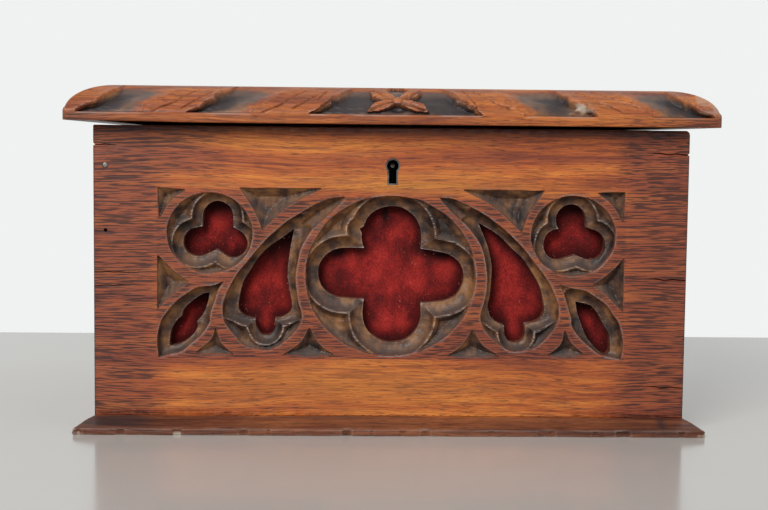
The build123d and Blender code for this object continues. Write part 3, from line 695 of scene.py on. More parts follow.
def triangulated(spots, kept, outer, holes):
    """Points and triangles inside the outer outline and outside the holes."""
    result = delaunay_2d_cdt([Vector(p) for p in spots.tolist()], kept, [], 0, 1e-5, True)
    where = np.array([(v.x, v.y) for v in result[0]])
    triangles = np.array(result[2])
    middles = where[triangles].mean(1)
    keep = (distance(outer, middles)[0] > 0) & ~in_any(holes, middles)
    return where, triangles[keep]


def free_edges(triangles):
    """Directed edges that only one triangle has."""
    sides = np.vstack((triangles[:, [0, 1]], triangles[:, [1, 2]], triangles[:, [2, 0]]))
    _, index, counts = np.unique(np.sort(sides, 1), axis=0, return_index=True, return_counts=True)
    return sides[index[counts == 1]]


def mesh_object(name, vertices, faces, materials=(), smooth=38):
    """A mesh from points in metres, smooth but for edges that turn by more than some degrees."""
    mesh = bpy.data.meshes.new(name)
    mesh.from_pydata(np.asarray(vertices).tolist(), [], [list(map(int, f)) for f in faces])
    mesh.update()
    holder = place_object(name, mesh)
    for material in materials:
        mesh.materials.append(material)
    mesh.shade_smooth()
    mesh.set_sharp_from_angle(angle=math.radians(smooth))
    return holder


where, triangles = triangulated(flat, edges, perimeter, loops)
print("triangles of the face", len(triangles))

# %% [markdown]
# The front points go back by the carving's depth, and the back repeats the outlines' points.
# %% Board from the triangles
rim = free_edges(triangles)
front_vertices = np.column_stack((where[:, 0], front_y + face_depth(where), where[:, 1] + panel_foot))
rim_points = np.unique(rim)
number = {v: k for k, v in enumerate(rim_points)}
back_spots = where[rim_points]
back_edges = [(number[a], number[b]) for a, b in rim]
back_where, back_triangles = triangulated(back_spots, back_edges, perimeter, loops)
base = len(front_vertices)
back_vertices = np.column_stack(
    (back_where[:, 0], np.full(len(back_where), front_y + panel_thick), back_where[:, 1] + panel_foot)
)
faces = [tuple(t) for t in triangles]
faces += [tuple(base + t[::-1]) for t in back_triangles]
faces += [(b, a, base + number[a], base + number[b]) for a, b in rim]
board_vertices = np.vstack((front_vertices, back_vertices)) * MM
carved_front = mesh_object("carved_front", board_vertices, faces, [waxed_carved_oak])
print("front", len(faces), "faces; back points kept", len(back_where) == len(back_spots))


# %% [markdown]
# ## Bed of the lock
# The lock is let into the back of the top rail, so the board loses three shallow blocks there.
# %% Cut the lock's bed
def block(low, high):
    """Eight corners and six faces of a block, in mm."""
    corners = [(x, y, z) for x in (low[0], high[0]) for y in (low[1], high[1]) for z in (low[2], high[2])]
    sides = [(0, 1, 3, 2), (4, 6, 7, 5), (0, 4, 5, 1), (2, 3, 7, 6), (0, 2, 6, 4), (1, 5, 7, 3)]
    return np.array(corners) * MM, sides


def apply_modifiers(piece):
    """Make a piece and its modifiers one plain mesh."""
    graph = bpy.context.evaluated_depsgraph_get()
    done = bpy.data.meshes.new_from_object(piece.evaluated_get(graph))
    piece.modifiers.clear()
    before, piece.data = piece.data, done
    bpy.data.meshes.remove(before)
    done.name = piece.name
    return done


def cut(piece, blocks):
    """Take blocks away from a piece with a boolean."""
    for number, (low, high) in enumerate(blocks):
        cutter = mesh_object(f"cutter_{number}", *block(low, high))
        change = piece.modifiers.new("cut", "BOOLEAN")
        change.object = cutter
        change.operation = "DIFFERENCE"
        change.solver = "MANIFOLD"
        apply_modifiers(piece)
        bpy.data.objects.remove(cutter)


top_z = panel_foot + panel_tall
cut(
    carved_front,
    [
        ((-26, -85.2, 122.2), (26, -80, top_z + 2)),  # Plate
        ((-19.7, -92.8, 123.8), (19.7, -80, top_z + 2)),  # Case
        ((-26, -92.8, 152.9), (26, -80, top_z + 2)),  # Selvedge
    ],
)
print("front after the cuts", len(carved_front.data.polygons), "faces")


# %% [markdown]
# ## Wear and painted shade
# Painted shade darkens a surface where it is hollow, and wax rubs off where it is sharp, with a
# painted highlight. Both follow from the shape, so each point is compared with its neighbours and
# the result is kept as an attribute.
# %% Values on the points of a mesh
def write_value(mesh, name, values):
    layer = mesh.attributes.get(name) or mesh.attributes.new(name, "FLOAT", "POINT")
    layer.data.foreach_set("value", np.asarray(values, np.float32))


def read_value(mesh, name):
    out = np.empty(len(mesh.vertices), np.float32)
    mesh.attributes[name].data.foreach_get("value", out)
    return out


def vectors(items, field):
    """A vector of each item, such as a vertex's place, as rows."""
    out = np.empty(len(items) * 3, np.float32)
    items.foreach_get(field, out)
    return out.reshape(-1, 3).astype(float)


def mark_shade_and_wear(piece):
    """Write cavity: above zero in hollow corners, below zero on sharp edges. Gives the points in mm."""
    mesh = piece.data
    spots = vectors(mesh.vertices, "co") / MM
    normals = vectors(mesh.vertex_normals, "vector")
    pairs = np.empty(len(mesh.edges) * 2, np.int32)
    mesh.edges.foreach_get("vertices", pairs)
    a, b = pairs.reshape(-1, 2).T
    way = spots[b] - spots[a]
    length = np.maximum(np.linalg.norm(way, axis=1), 0.05)
    total = np.zeros(len(spots))
    share = np.full(len(spots), 1e-9)
    for end, sign in ((a, 1), (b, -1)):
        np.add.at(total, end, sign * (way * normals[end]).sum(1) / length**2)
        np.add.at(share, end, 1 / length)
    bend = total / share
    for _ in range(2):
        spread, count = bend.copy(), np.ones(len(spots))
        near = length < 2.0
        for end, other in ((a[near], b[near]), (b[near], a[near])):
            np.add.at(spread, end, bend[other])
            np.add.at(count, end, 1)
        bend = spread / count
    write_value(mesh, "cavity", np.clip(bend * 2.5, -1, 1))
    return spots


spots = mark_shade_and_wear(carved_front)
bends = read_value(carved_front.data, "cavity")
print("cavity of the front from", bends.min().round(2), "to", bends.max().round(2))

# %% [markdown]
# Only the arrises of the carving are rubbed pale, with a painted highlight. The ribs and both ends of
# the board have aged to purple, and the rails are golden in the middle. Both ends are darkened, a
# painted shadow lies on the edge under the lid, and painted shade in the pits of the spandrels.
# %% Wear and painted shade of the front
deep = spots[:, 1] - front_y
side, up = np.abs(spots[:, 0]), spots[:, 2] - panel_foot
# The tracery fills this part of the panel, with plain rails above and below and plain ends
tracery_half, tracery_low, tracery_high = 118.6, 29.5, 117
tracery = (side < tracery_half) & (up > tracery_low) & (up < tracery_high)
write_value(carved_front.data, "sunk", rise((deep - 0.3) / 0.5) * (deep < 13.5) * tracery)
aged = np.where(tracery, 0.75 * rise((119 - up) / 10), 0.75 * rise((side - 106) / 20))
aged = np.maximum(aged, 0.6 * rise((-70 - spots[:, 0]) / 40) * rise((up - 118) / 8))
golden = 0.9 * soft_spot(spots[:, 0], up, 12, 117, 60, 4.5) + 0.5 * soft_spot(spots[:, 0], up, -25, 16, 90, 9)
write_value(carved_front.data, "rib", aged - golden)
write_value(carved_front.data, "cavity", np.where(tracery, bends, np.maximum(bends, -0.1)))
# Both ends darker, and a painted shadow along the top edge under the lid
ends = np.maximum(rise((side - 149.2) / 0.6), 0.95 * rise((up - 142.6) / 3.0) * rise((150.5 - side) / 8))
# Painted shade in the pits of the spandrels
painted_pit_shade = np.zeros(len(spots))
for item in fields:
    if item["hole"] is None:
        inside, _ = distance(item["field"], spots[:, ::2] - (0, panel_foot))
        painted_pit_shade = np.maximum(painted_pit_shade, 0.42 * rise(inside / 2.5) * (0.8 + 0.5 * ripple(spots[:, ::2], 6, 19)))
write_value(carved_front.data, "bare", -np.maximum(0.9 * ends, painted_pit_shade))
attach(carved_front, "root")
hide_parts("front_panel")
carved_front.data.set_sharp_from_angle(angle=math.radians(38))
print("carved front", len(carved_front.data.polygons), "faces")

# %% [markdown]
# ## Lid
# The lid is a board with a rounded edge, an ovolo, at the front and both ends. Long leaves are left
# standing on the ovolo and the ground between them is cut away in hollows; a four-petalled flower
# marks the middle. The edge is swept as a grid of profile and length, and the carving pushes its
# points in along the profile's normal. So the mitres at the corners stay straight.
# %% Profile of the lid's edge
lid_half, lid_front, lid_back = 163.0, -111.0, 98.0
lid_low, lid_high, nosing_top = 156.3, 174.8, 161.0
# The ovolo is a quarter of an ellipse, this far in and this far up
run, height = 23.0, 13.8
sweep = np.radians(np.concatenate((np.linspace(1.5, 40, 26), np.linspace(41.6, 90, 26))))
profile = [(0.55, lid_low), (0.16, lid_low + 0.12), (0.0, lid_low + 0.5), (0, 157.8), (0, 158.9)]
profile += [(0, 159.9), (0.0, 160.6), (0.2, 160.9), (0.95, 161.0)]
low_rows = len(profile)
profile += [(1 + run * (1 - math.cos(a)), nosing_top + height * math.sin(a)) for a in sweep]
profile = np.array(profile)
slopes = np.array([(height * math.cos(a), run * math.sin(a)) for a in sweep])
slopes /= np.hypot(*slopes.T)[:, None]
arc = np.concatenate(([0], np.cumsum(np.hypot(*np.diff(profile[low_rows:], axis=0).T))))
print("ovolo", round(arc[-1], 1), "mm round")


# %% [markdown]
# The leaves are drawn in the same two measures: length along the edge and height up the ovolo, from
# 0 at the nosing to 1 at the top. Their sides are cut in scallops, as a leaf's are.
# %% Leaves, veins and flower
def up_arc(shares):
    """Height share of the ovolo as mm of arc."""
    return np.interp(np.asarray(shares) * height, profile[low_rows:, 1] - nosing_top, arc)


def leaf(points):
    """A closed outline. Heights under 0 and over 1 run past the ovolo's ends."""
    along, up = np.array(points, float).T
    inside = np.where(up < 0, up * 10, up_arc(np.clip(up, 0, 1)))
    return divided(np.column_stack((along, np.where(up > 1, arc[-1] + 2, inside))), 1.0)


def cuts_along(lines):
    """Open lines, such as veins."""
    return [np.column_stack((np.array(line)[:, 0], up_arc(np.array(line)[:, 1]))) for line in lines]


front_leaves = [
    leaf([(-124.8, -0.3), (-122.4, 0.28), (-118.2, 0.40), (-117.0, 0.55), (-111.8, 0.64), (-110.4, 0.80)]
         + [(-103, 0.90), (-99, 1.1), (-74, 1.1), (-82, 0.90), (-88.6, 0.74), (-89.4, 0.60), (-93.6, 0.45)]
         + [(-96.0, 0.24), (-101.8, 0.04), (-102.0, -0.3)]),
    leaf([(-71.6, -0.3), (-69.0, 0.16), (-64.6, 0.30), (-63.6, 0.44), (-59.0, 0.60), (-57.6, 0.74)]
         + [(-50, 0.88), (-44, 1.1), (-15, 1.1), (-23.0, 0.90), (-27.6, 0.70), (-31.4, 0.62), (-32.0, 0.50)]
         + [(-35.6, 0.34), (-37.4, 0.18), (-41.6, 0.04), (-41.4, -0.3)]),
    leaf([(64.6, -0.3), (64.6, 0.10), (61.4, 0.20), (61.0, 0.34), (57.6, 0.46), (57.0, 0.66), (53, 0.84)]
         + [(48, 1.1), (18, 1.1), (26.6, 0.92), (31.4, 0.76), (32.2, 0.62), (36.0, 0.54), (37.4, 0.38)]
         + [(40.6, 0.30), (41.6, 0.14), (43.4, 0.04), (43.4, -0.3)]),
    leaf([(129.0, -0.3), (128.0, 0.14), (124.6, 0.24), (124.0, 0.38), (119.6, 0.48), (118.4, 0.66)]
         + [(113, 0.84), (106, 1.1), (72, 1.1), (82.6, 0.92), (87.4, 0.78), (88.0, 0.66), (93.4, 0.52)]
         + [(96.0, 0.36), (99.4, 0.26), (100.6, 0.08), (100.8, -0.3)]),
    leaf([(-166, -0.3), (-158.4, -0.3), (-155.8, 0.10), (-151.8, 0.30), (-147.0, 0.42), (-143.0, 0.70)]
         + [(-137, 0.9), (-134, 1.1), (-166, 1.1)]),
    leaf([(166, -0.3), (160.4, -0.3), (158.0, 0.12), (152.6, 0.28), (150.6, 0.42), (146.0, 0.66)]
         + [(139, 0.9), (136, 1.1), (166, 1.1)]),
]
print("leaves on the front edge", len(front_leaves))

# %% [markdown]
# The flower has four petals, each with one groove. A few veins run up each leaf, cut with a small
# V tool.
# %% Flower and veins
flower = [
    leaf([(1.8, 0.58), (-2.4, 0.86), (-7.6, 1.02), (-12.0, 0.96), (-10.0, 0.76), (-5.6, 0.62)]),
    leaf([(1.8, 0.58), (5.6, 0.62), (11.2, 0.78), (15.8, 0.97), (11.0, 1.02), (5.6, 0.86)]),
    leaf([(1.8, 0.58), (-4.6, 0.56), (-9.6, 0.46), (-12.6, 0.16), (-7.4, 0.20), (-2.8, 0.34)]),
    leaf([(1.8, 0.58), (6.4, 0.34), (10.6, 0.20), (16.4, 0.16), (14.2, 0.44), (8.4, 0.56)]),
]
veins = cuts_along([
    [(-118.5, 0.06), (-108, 0.42), (-97, 0.86)], [(-104.5, 0.16), (-98, 0.5), (-90, 0.8)],
    [(-65, 0.03), (-56, 0.34), (-44, 0.86)], [(-37.6, 0.55), (-33.5, 0.86)],
    [(-50, 0.2), (-45, 0.42), (-38, 0.72)], [(34.6, 0.92), (38.6, 0.62), (41, 0.36)],
    [(40, 0.88), (50, 0.50), (57, 0.28)], [(92, 0.90), (103, 0.55), (113, 0.2)],
    [(100, 0.92), (112, 0.6), (121, 0.36)],
])
flower_veins = cuts_along([
    [(1.8, 0.58), (-5, 0.74), (-11, 0.94)], [(1.8, 0.58), (8, 0.74), (14.6, 0.94)],
    [(1.8, 0.58), (-5, 0.44), (-11.6, 0.2)], [(1.8, 0.58), (8, 0.40), (15, 0.2)],
])
flower_bed = leaf([(1.8 + 13 * math.cos(a), 0.58 + 0.42 * math.sin(a)) for a in np.linspace(0, 6.1, 24)])
# The leaf that repeats along both ends of the lid, as steps from its middle
end_leaf = [(-14, -0.3), (-12, 0.2), (-8, 0.3), (-7, 0.5), (-1, 0.62), (0, 0.78), (7, 0.9), (11, 1.1)]
end_leaf += [(34, 1.1), (26, 0.9), (20, 0.74), (19, 0.6), (14, 0.46), (13, 0.26), (9, 0.06), (9, -0.3)]
end_middles = (-58, -4, 50)
first_leaf = [(-115, -0.3), (-106, -0.3), (-103, 0.12), (-98, 0.3), (-95, 0.5), (-90, 0.7), (-86, 1.1)]
end_leaves = [leaf([*first_leaf, (-115, 1.1)])]
end_leaves += [leaf([(x + middle, h) for x, h in end_leaf]) for middle in end_middles]
end_leaves.append(leaf([(100, -0.3), (92, -0.3), (92, 1.1), (100, 1.1)]))
end_veins = cuts_along([[(-9 + m, 0.06), (2 + m, 0.42), (14 + m, 0.86)] for m in end_middles])
print("veins", len(veins) + len(flower_veins), "and at each end", len(end_leaves), "leaves")


# %% [markdown]
# Each pocket between two leaves is one scoop of the gouge. It drops straight down under the leaf on
# its outer side, whose edge stands sharp and toothed, and climbs gently to the leaf on its inner
# side. The leaves run into the nosing without a line.
# %% Depth of the leaf carving
def line_gap(lines, spots):
    """Distance in mm of spots to the nearest of some open lines."""
    best = np.full(len(spots), 1e9)
    for line in lines:
        for p, q in zip(line[:-1], line[1:]):
            t = np.clip((spots - p) @ (q - p) / ((q - p) @ (q - p)), 0, 1)[:, None]
            best = np.minimum(best, np.hypot(*(spots - p - t * (q - p)).T))
    return best


def scooped(leaves, lines, spots, middle):
    """Depth in mm of the carving at (length, arc) of the ovolo, and whether the spot is ground."""
    along, up = spots.T
    left_gap, right_gap = np.full((2, len(spots)), 60.0)
    for outline in leaves:
        low, high = outline.min(0) - 45, outline.max(0) + 45
        here = ((spots > low) & (spots < high)).all(1)
        if not here.any():
            continue
        gap = -distance(outline, spots[here])[0]
        foot = outline[outline[:, 1] < 3, 0].mean()
        head = outline[outline[:, 1] > arc[-1] - 3, 0].mean()
        centre = foot + (head - foot) * np.clip(up[here] / arc[-1], 0, 1)
        beyond = along[here] > centre
        left_gap[here] = np.where(beyond, np.minimum(left_gap[here], gap), left_gap[here])
        right_gap[here] = np.where(beyond, right_gap[here], np.minimum(right_gap[here], gap))
    outer = np.where(along < middle, left_gap, right_gap)
    inner = np.where(along < middle, right_gap, left_gap)
    ground = (outer > 0) & (inner > 0)
    outside, inside = np.clip(outer, 0, None), np.clip(inner, 0, None)
    t = outside / np.maximum(outside + inside, 1e-6)
    most = 4.7 * rise((27.0 - up) / 15) * (0.78 + 0.22 * rise((up + 2) / 7))
    scoop = most * (1 - 0.92 * t**1.5) + 0.1 * ripple(spots, 5, 71) * rise(outer / 3)
    scoop = np.minimum(2.4 * outer, np.maximum(scoop, 0))
    dish = 0.5 * rise(-np.minimum(outer, inner) / 4) * rise((24 - up) / 8) + 0.06 * ripple(spots, 6, 73)
    vein = 1.0 * np.clip(1 - line_gap(lines, spots) / 0.75, 0, 1) * rise((26 - up) / 4)
    run_out = 0.95 * (1 - rise(up / 3.5))
    return np.where(ground, scoop, np.maximum(dish, 0) * rise(up / 4) + vein - run_out), ground


def front_carving(spots):
    """The same for the front edge, with its flower and the broken leaf on the right."""
    depth, ground = scooped(front_leaves, veins, spots, 1.8)
    along, up = spots.T
    near = (along > -45) & (along < 45)
    depth[near & ground] = np.maximum(depth, 1.6 * rise((25 - up) / 8))[near & ground]
    bed = near & (distance(flower_bed, spots)[0] > 0)
    depth[bed] = np.maximum(depth[bed], 2.0)
    below = 2.2 * soft_spot(along, up, 2, 4.5, 3.4, 3.6)
    depth = np.where(near & (ground | bed), depth + below, depth)
    near = (along > -16) & (along < 20)
    petal_depth = np.full(len(spots), 99.0)
    for petal in flower:
        signed, _ = distance(petal, spots[near])
        groove = 1.3 * np.clip(1 - line_gap(flower_veins, spots[near]) / 1.2, 0, 1)
        raised = np.where(signed > -0.6, 0.4 + groove + 0.5 * rise(1 - signed / 2), 99)
        petal_depth[near] = np.minimum(petal_depth[near], raised)
    boss = np.hypot(along - 1.8, up - up_arc([0.6])[0])
    petal_depth = np.where(boss < 2.6, 0.2 + 0.9 * (boss / 2.6) ** 2, petal_depth)
    depth = np.minimum(depth, petal_depth)
    # A leaf broke off on the right and left a pale, curled stump
    stump = soft_spot(along - 0.4 * (up - 6), up, 94, 5.5, 5.0, 4.5)
    depth = depth - 1.9 * stump * (0.7 + 0.5 * ripple(spots, 5, 81)) * (depth > 1.2)
    return depth, ground


print("under a leaf", front_carving(np.array([[-60.0, 12.0]]))[0].round(1), "mm deep")


# %% [markdown]
# The front edge and the two end edges are three grids that meet at the mitres. The carving fades
# out there, so the three share their last points. The underside of the lid is planed down a
# little to the back, so that no light shows through the gap over the front.
# %% Sweep the lid's edge
# Radius of the lid's worn front corners in mm
CORNER = 2.6


def underside(x, y):
    """Height of the lid's underside: lowest at the back, lifted a little at the left front."""
    back = np.clip((np.asarray(y) - lid_front) / 209, 0, 1)
    return lid_low - 1.0 * back + 0.6 * rise((-np.asarray(x) - 90) / 60) * (1 - back)


def edge_grid(length_at, carve, step):
    """Rows of points in mm for one edge, with how deep each point is cut."""
    columns = int((length_at(0)[1] - length_at(0)[0]) / step)
    share = np.linspace(0, 1, columns + 1)
    rows, cuts = [], []
    for number, (s, z) in enumerate(profile):
        low, high = length_at(s)
        along = low + (high - low) * share
        up = arc[max(0, number - low_rows)]
        depth = np.zeros(len(along))
        if number >= low_rows - 2:
            depth, _ = carve(np.column_stack((along, np.full(len(along), up))))
            fade = rise(np.minimum(along - low, high - along) / 2.5)
            depth = np.where(depth > 0, depth * fade, depth)
        if number >= low_rows:
            across, over = slopes[number - low_rows]
            inward, upward = s + depth * across, z - depth * over
        else:
            # On a leaf the step over the nosing is filled
            inward, upward = s - s * np.clip(-depth / 0.95, 0, 1), np.full(len(along), z)
            depth = np.zeros(len(along))
        cuts.append(depth)
        rows.append((along, inward, upward))
    return rows, np.array(cuts)


front_rows, front_cuts = edge_grid(lambda s: (s - lid_half, lid_half - s), front_carving, 0.6)
end_rows, end_cuts = edge_grid(
    lambda s: (lid_front + s, lid_back), lambda spots: scooped(end_leaves, end_veins, spots, -4), 0.9
)
lid_vertices, lid_faces, lid_cuts = [], [], []


def lowered(x, y, z):
    """A point of the lid with its front corners knocked round and its underside in place."""
    over = (abs(x) - lid_half + CORNER, -y + lid_front + CORNER)
    reach = math.hypot(*over)
    if min(over) > 0 and reach > CORNER:
        x -= math.copysign(over[0] * (1 - CORNER / reach), x)
        y += over[1] * (1 - CORNER / reach)
    share = np.clip((157.8 - z) / (157.8 - lid_low), 0, 1)
    return (x, y, z + (float(underside(x, y)) - lid_low) * share)


def grid_faces(rows, columns, start=0):
    """Faces of a grid of points that are numbered along each row."""
    first = [start + i * columns + j for i in range(rows - 1) for j in range(columns - 1)]
    return [(p, p + 1, p + columns + 1, p + columns) for p in first]


def add_grid(rows, cuts, to_space, flip):
    start = len(lid_vertices)
    width = len(rows[0][0])
    for (along, inward, upward), row_cuts in zip(rows, cuts):
        for a, s, z, c in zip(along, inward, upward, row_cuts):
            lid_vertices.append(lowered(*to_space(a, s, z)))
            lid_cuts.append(c)
    lid_faces.extend(face[::-1] if flip else face for face in grid_faces(len(rows), width, start))


add_grid(front_rows, front_cuts, lambda a, s, z: (a, lid_front + s, z), False)
add_grid(end_rows, end_cuts, lambda a, s, z: (lid_half - s, a, z), False)
add_grid(end_rows, end_cuts, lambda a, s, z: (s - lid_half, a, z), True)
print("lid edge", len(lid_faces), "faces")

# %% [markdown]
# The top and the underside are flat, with the slot for letters through both. Each is one
# triangulated sheet whose outline repeats the last points of the swept edges.
# %% Close the lid
slot_turn = np.radians(np.linspace(-90, 90, 13))
slot_end = np.column_stack((75 + 5 * np.cos(slot_turn), 5 * np.sin(slot_turn)))
slot = divided(np.vstack((slot_end, -slot_end)), 2.5)


def sheet_faces(row, z, flip):
    """A flat face of the lid at one row of the profile, with the slot."""
    front = [(a, lid_front + s) for a, s, _ in zip(*front_rows[row])]
    right = [(lid_half - s, a) for a, s, _ in zip(*end_rows[row])][1:]
    left = [(s - lid_half, a) for a, s, _ in zip(*end_rows[row])][1:]
    back = [(x, lid_back) for x in np.arange(right[-1][0] - 6, left[-1][0] + 3, -6)]
    outline = np.array(front + right + back + left[::-1])
    kept = []
    for first, count in ((0, len(outline)), (len(outline), len(slot))):
        kept += [(first + i, first + (i + 1) % count) for i in range(count)]
    inner = lattice((-150, -96), (150, 92), 12)
    inner = inner[(distance(outline, inner)[0] > 6) & (distance(slot, inner)[0] < -5)]
    where, triangles = triangulated(np.vstack((outline, slot, inner)), kept, outline, [slot])
    start = len(lid_vertices)
    lid_vertices.extend(lowered(x, y, z) for x, y in where)
    lid_cuts.extend([0.0] * len(where))
    lid_faces.extend(tuple(start + (t[::-1] if flip else t)) for t in triangles)


sheet_faces(-1, lid_high, False)
sheet_faces(0, lid_low, True)
start = len(lid_vertices)
for z in (lid_low, lid_high):
    lid_vertices.extend(lowered(x, y, z) for x, y in slot)
    lid_cuts.extend([0.0] * len(slot))
for i in range(len(slot)):
    j = (i + 1) % len(slot)
    lid_faces.append((start + i, start + len(slot) + i, start + len(slot) + j, start + j))
print("lid points", len(lid_vertices))

# %% [markdown]
# The grids and sheets share their last points, so points in one place are merged. The two housings
# for the hinges are cut out of the back edge.
# %% One closed lid
carved_lid = mesh_object("carved_lid", np.array(lid_vertices) * MM, lid_faces, [waxed_lid_oak])
write_value(carved_lid.data, "cut", lid_cuts)
shape = bmesh.new()
shape.from_mesh(carved_lid.data)
bmesh.ops.remove_doubles(shape, verts=shape.verts, dist=2e-5)
open_edges = [edge for edge in shape.edges if edge.is_boundary]
bmesh.ops.holes_fill(shape, edges=open_edges, sides=0)
bmesh.ops.triangulate(shape, faces=[face for face in shape.faces if len(face.verts) > 4])
bmesh.ops.recalc_face_normals(shape, faces=shape.faces)
left_open = sum(edge.is_boundary for edge in shape.edges)
shape.to_mesh(carved_lid.data)
shape.free()
print("lid", len(carved_lid.data.polygons), "faces, open edges", left_open)
cut(carved_lid, [((side * 95 - 19, 89, 150), (side * 95 + 19, 105, 157.7)) for side in (-1, 1)])

# %% [markdown]
# Painted shade makes the ground between the leaves nearly black where the cut is deep, paler where it
# is shallow, and darkens the underside. Wax and bare wood show on the broken leaf and at the right corner.
# %% Wear and painted shade of the lid
spots = mark_shade_and_wear(carved_lid)
bends = read_value(carved_lid.data, "cavity")
worked = (spots[:, 2] > lid_low + 1.6) & (spots[:, 2] < lid_high - 0.6) & (spots[:, 1] < lid_back - 1)
slot_side = (np.abs(spots[:, 1]) < 8) & (np.abs(spots[:, 0]) < 84)
write_value(carved_lid.data, "cavity", np.maximum(bends, np.where(worked & ~slot_side, -0.35, -0.1)))
values = read_value(carved_lid.data, "cut")
along, height_up = spots[:, 0], spots[:, 2]
write_value(carved_lid.data, "sunk", 0.94 * rise((values - 0.9) / 1.2))
# Painted shade on the underside of the lid
painted_underside_shade = rise((157.2 - height_up) / 0.8) * (spots[:, 1] > lid_front + 2)
write_value(carved_lid.data, "rib", 0.5 * rise((np.abs(along) - 100) / 60) * (height_up < 161.5))
stump = 1.2 * soft_spot(along, height_up, 94, 164.5, 7, 3.2) * (values > 0.2)
corner = rise((along - 149) / 3) * (spots[:, 1] < -90)
corner = corner * rise((height_up - 161.5) / 2) * rise((173.5 - height_up) / 2)
# Painted shade, darker the deeper the cut
dark = rise((values - 2.2) / 1.8)
pale = np.maximum(0.6 * stump, 0.3 * corner)
write_value(carved_lid.data, "bare", pale - dark * (1 - pale) - 0.5 * painted_underside_shade)
carved_lid.data.shade_smooth()
carved_lid.data.set_sharp_from_angle(angle=math.radians(40))
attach(carved_lid, "lid")
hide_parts("lid")
print("carved lid", len(carved_lid.data.polygons), "faces")

# %% [markdown]
# ## Base strip
# A thin strip with a sloping top runs along the foot of the front. Its thin edge has been knocked
# for a century, so it is swept as a grid fine enough to carry chips.
# %% Sweep the strip
strip_profile = [(-98, 7.8), (-100.3, 6.9), (-102.6, 6.0), (-104.9, 5.1), (-107.2, 4.2), (-108.9, 3.5)]
strip_profile += [(-109.4, 3.1), (-109.5, 2.4), (-109.5, 1.6), (-109.5, 0.9), (-109.4, 0.3), (-109.1, 0)]
strip_profile += [(-104, 0), (-98, 0)]
COLUMNS = 700  # Half a millimetre apart, so that a chip has a shape
share = np.linspace(-1, 1, COLUMNS)
strip_vertices, bare = [], []
for y, z in strip_profile:
    half = 161.0 - 11.0 * max(0, z - 3.3) / 4.5 - 2.0 * rise((-y - 101) / 8)
    x = share * half
    line = x[:, None] * (1, 0)
    chip = np.clip(ripple(line, 17, 41) + 0.4 * ripple(line, 4, 42) - 0.35, 0, 1)
    chip = np.maximum(chip, 0.9 * rise((np.abs(x) - 150) / 8) * (0.6 + 0.5 * ripple(line, 3, 43)))
    low = rise((3.6 - z) / 2.0) * (y < -105)
    tread = 0.15 if y < -109 else 0
    strip_vertices.extend((a, y + 1.2 * c * low + tread, z) for a, c in zip(x, chip))
    # Bare wood in the chips, dark old patches on the left, and one dark spot on the right
    worn = np.maximum(np.exp(-(((x + 108) / 22) ** 4)), rise((np.abs(x) - 152) / 5))
    tan = rise(chip / 0.5) * rise((2.8 - z) / 2) * (y < -105) * worn
    patch = np.exp(-(((x + 136) / 16) ** 4)) * rise((z - 3.2) / 1.5)
    spot = np.exp(-(((x - 138) / 2.2) ** 2)) * (z > 4)
    bare.extend(0.5 * tan - 0.8 * patch - 0.8 * spot)
rows = len(strip_profile)
strip_faces = [
    ((i + 1) % rows * COLUMNS + j, (i + 1) % rows * COLUMNS + j + 1, i * COLUMNS + j + 1, i * COLUMNS + j)
    for i in range(rows)
    for j in range(COLUMNS - 1)
]
strip_faces.append([i * COLUMNS for i in range(rows)])
strip_faces.append([i * COLUMNS + COLUMNS - 1 for i in range(rows)][::-1])
chipped_strip = mesh_object("chipped_strip", np.array(strip_vertices) * MM, strip_faces, [waxed_strip_oak])
shape = bmesh.new()
shape.from_mesh(chipped_strip.data)
bmesh.ops.recalc_face_normals(shape, faces=shape.faces)
shape.to_mesh(chipped_strip.data)
shape.free()
mark_shade_and_wear(chipped_strip)
write_value(chipped_strip.data, "bare", bare)
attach(chipped_strip, "root")
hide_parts("base_strip")
print("strip", len(chipped_strip.data.polygons), "faces")

# %% [markdown]
# ## Velvet
# Red cotton velvet is stretched over a thin board behind the tracery. Its pile lies in soft upright
# folds and shows bright where it faces the light. Sheen gives the pale bloom of the pile.
# %% Velvet
crushed_velvet, tree = new_material("crushed_cotton_velvet")
place = add(tree, "ShaderNodeTexCoord").outputs["Object"]
stretched = add(tree, "ShaderNodeMapping", {"Vector": place, "Scale": (1000, 1000, 700)})
# Sizes in mm: the lie of the nap, the tufts of the pile, and specks of fluff that cling to it
nap, pile, fluff = (
    add(tree, "ShaderNodeTexNoise", {"Vector": stretched, "Scale": 1 / size, "Detail": detail})
    for size, detail in ((12, 3.0), (0.7, 2.0), (0.8, 0.0))
)
lie = add(tree, "ShaderNodeMath", {0: pile, 1: 0.5, 2: nap}, operation="MULTIPLY_ADD")
red = add(tree, "ShaderNodeValToRGB", {"Fac": lie}, [(0.6, "541515"), (0.75, "7E1F1D"), (0.92, "A22C27")])
# Painted shade darkens the cloth along the openings' edges, towards the top and in its folds
pinched = add(tree, "ShaderNodeAttribute", attribute_name="pinched").outputs["Fac"]
clings = add(tree, "ShaderNodeMapRange", {"Value": fluff, "From Min": 0.78, "From Max": 0.9})
for layer, over in ((pinched, "260A0B"), (clings, "B8604F")):
    red = add(tree, "ShaderNodeMix", {0: layer, 6: red, 7: linear(over)}, data_type="RGBA")
bump = add(tree, "ShaderNodeBump", {"Height": pile, "Strength": 0.5, "Distance": 0.0004})
inputs = {"Base Color": red, "Roughness": 0.92, "Normal": bump, "Specular IOR Level": 0.15}
inputs |= {"Sheen Weight": 0.3, "Sheen Roughness": 0.4, "Sheen Tint": linear("E87A70")}
cloth = add(tree, "ShaderNodeBsdfPrincipled", inputs)
add(tree, "ShaderNodeOutputMaterial", {"Surface": cloth})
print("velvet nodes", len(tree.nodes))
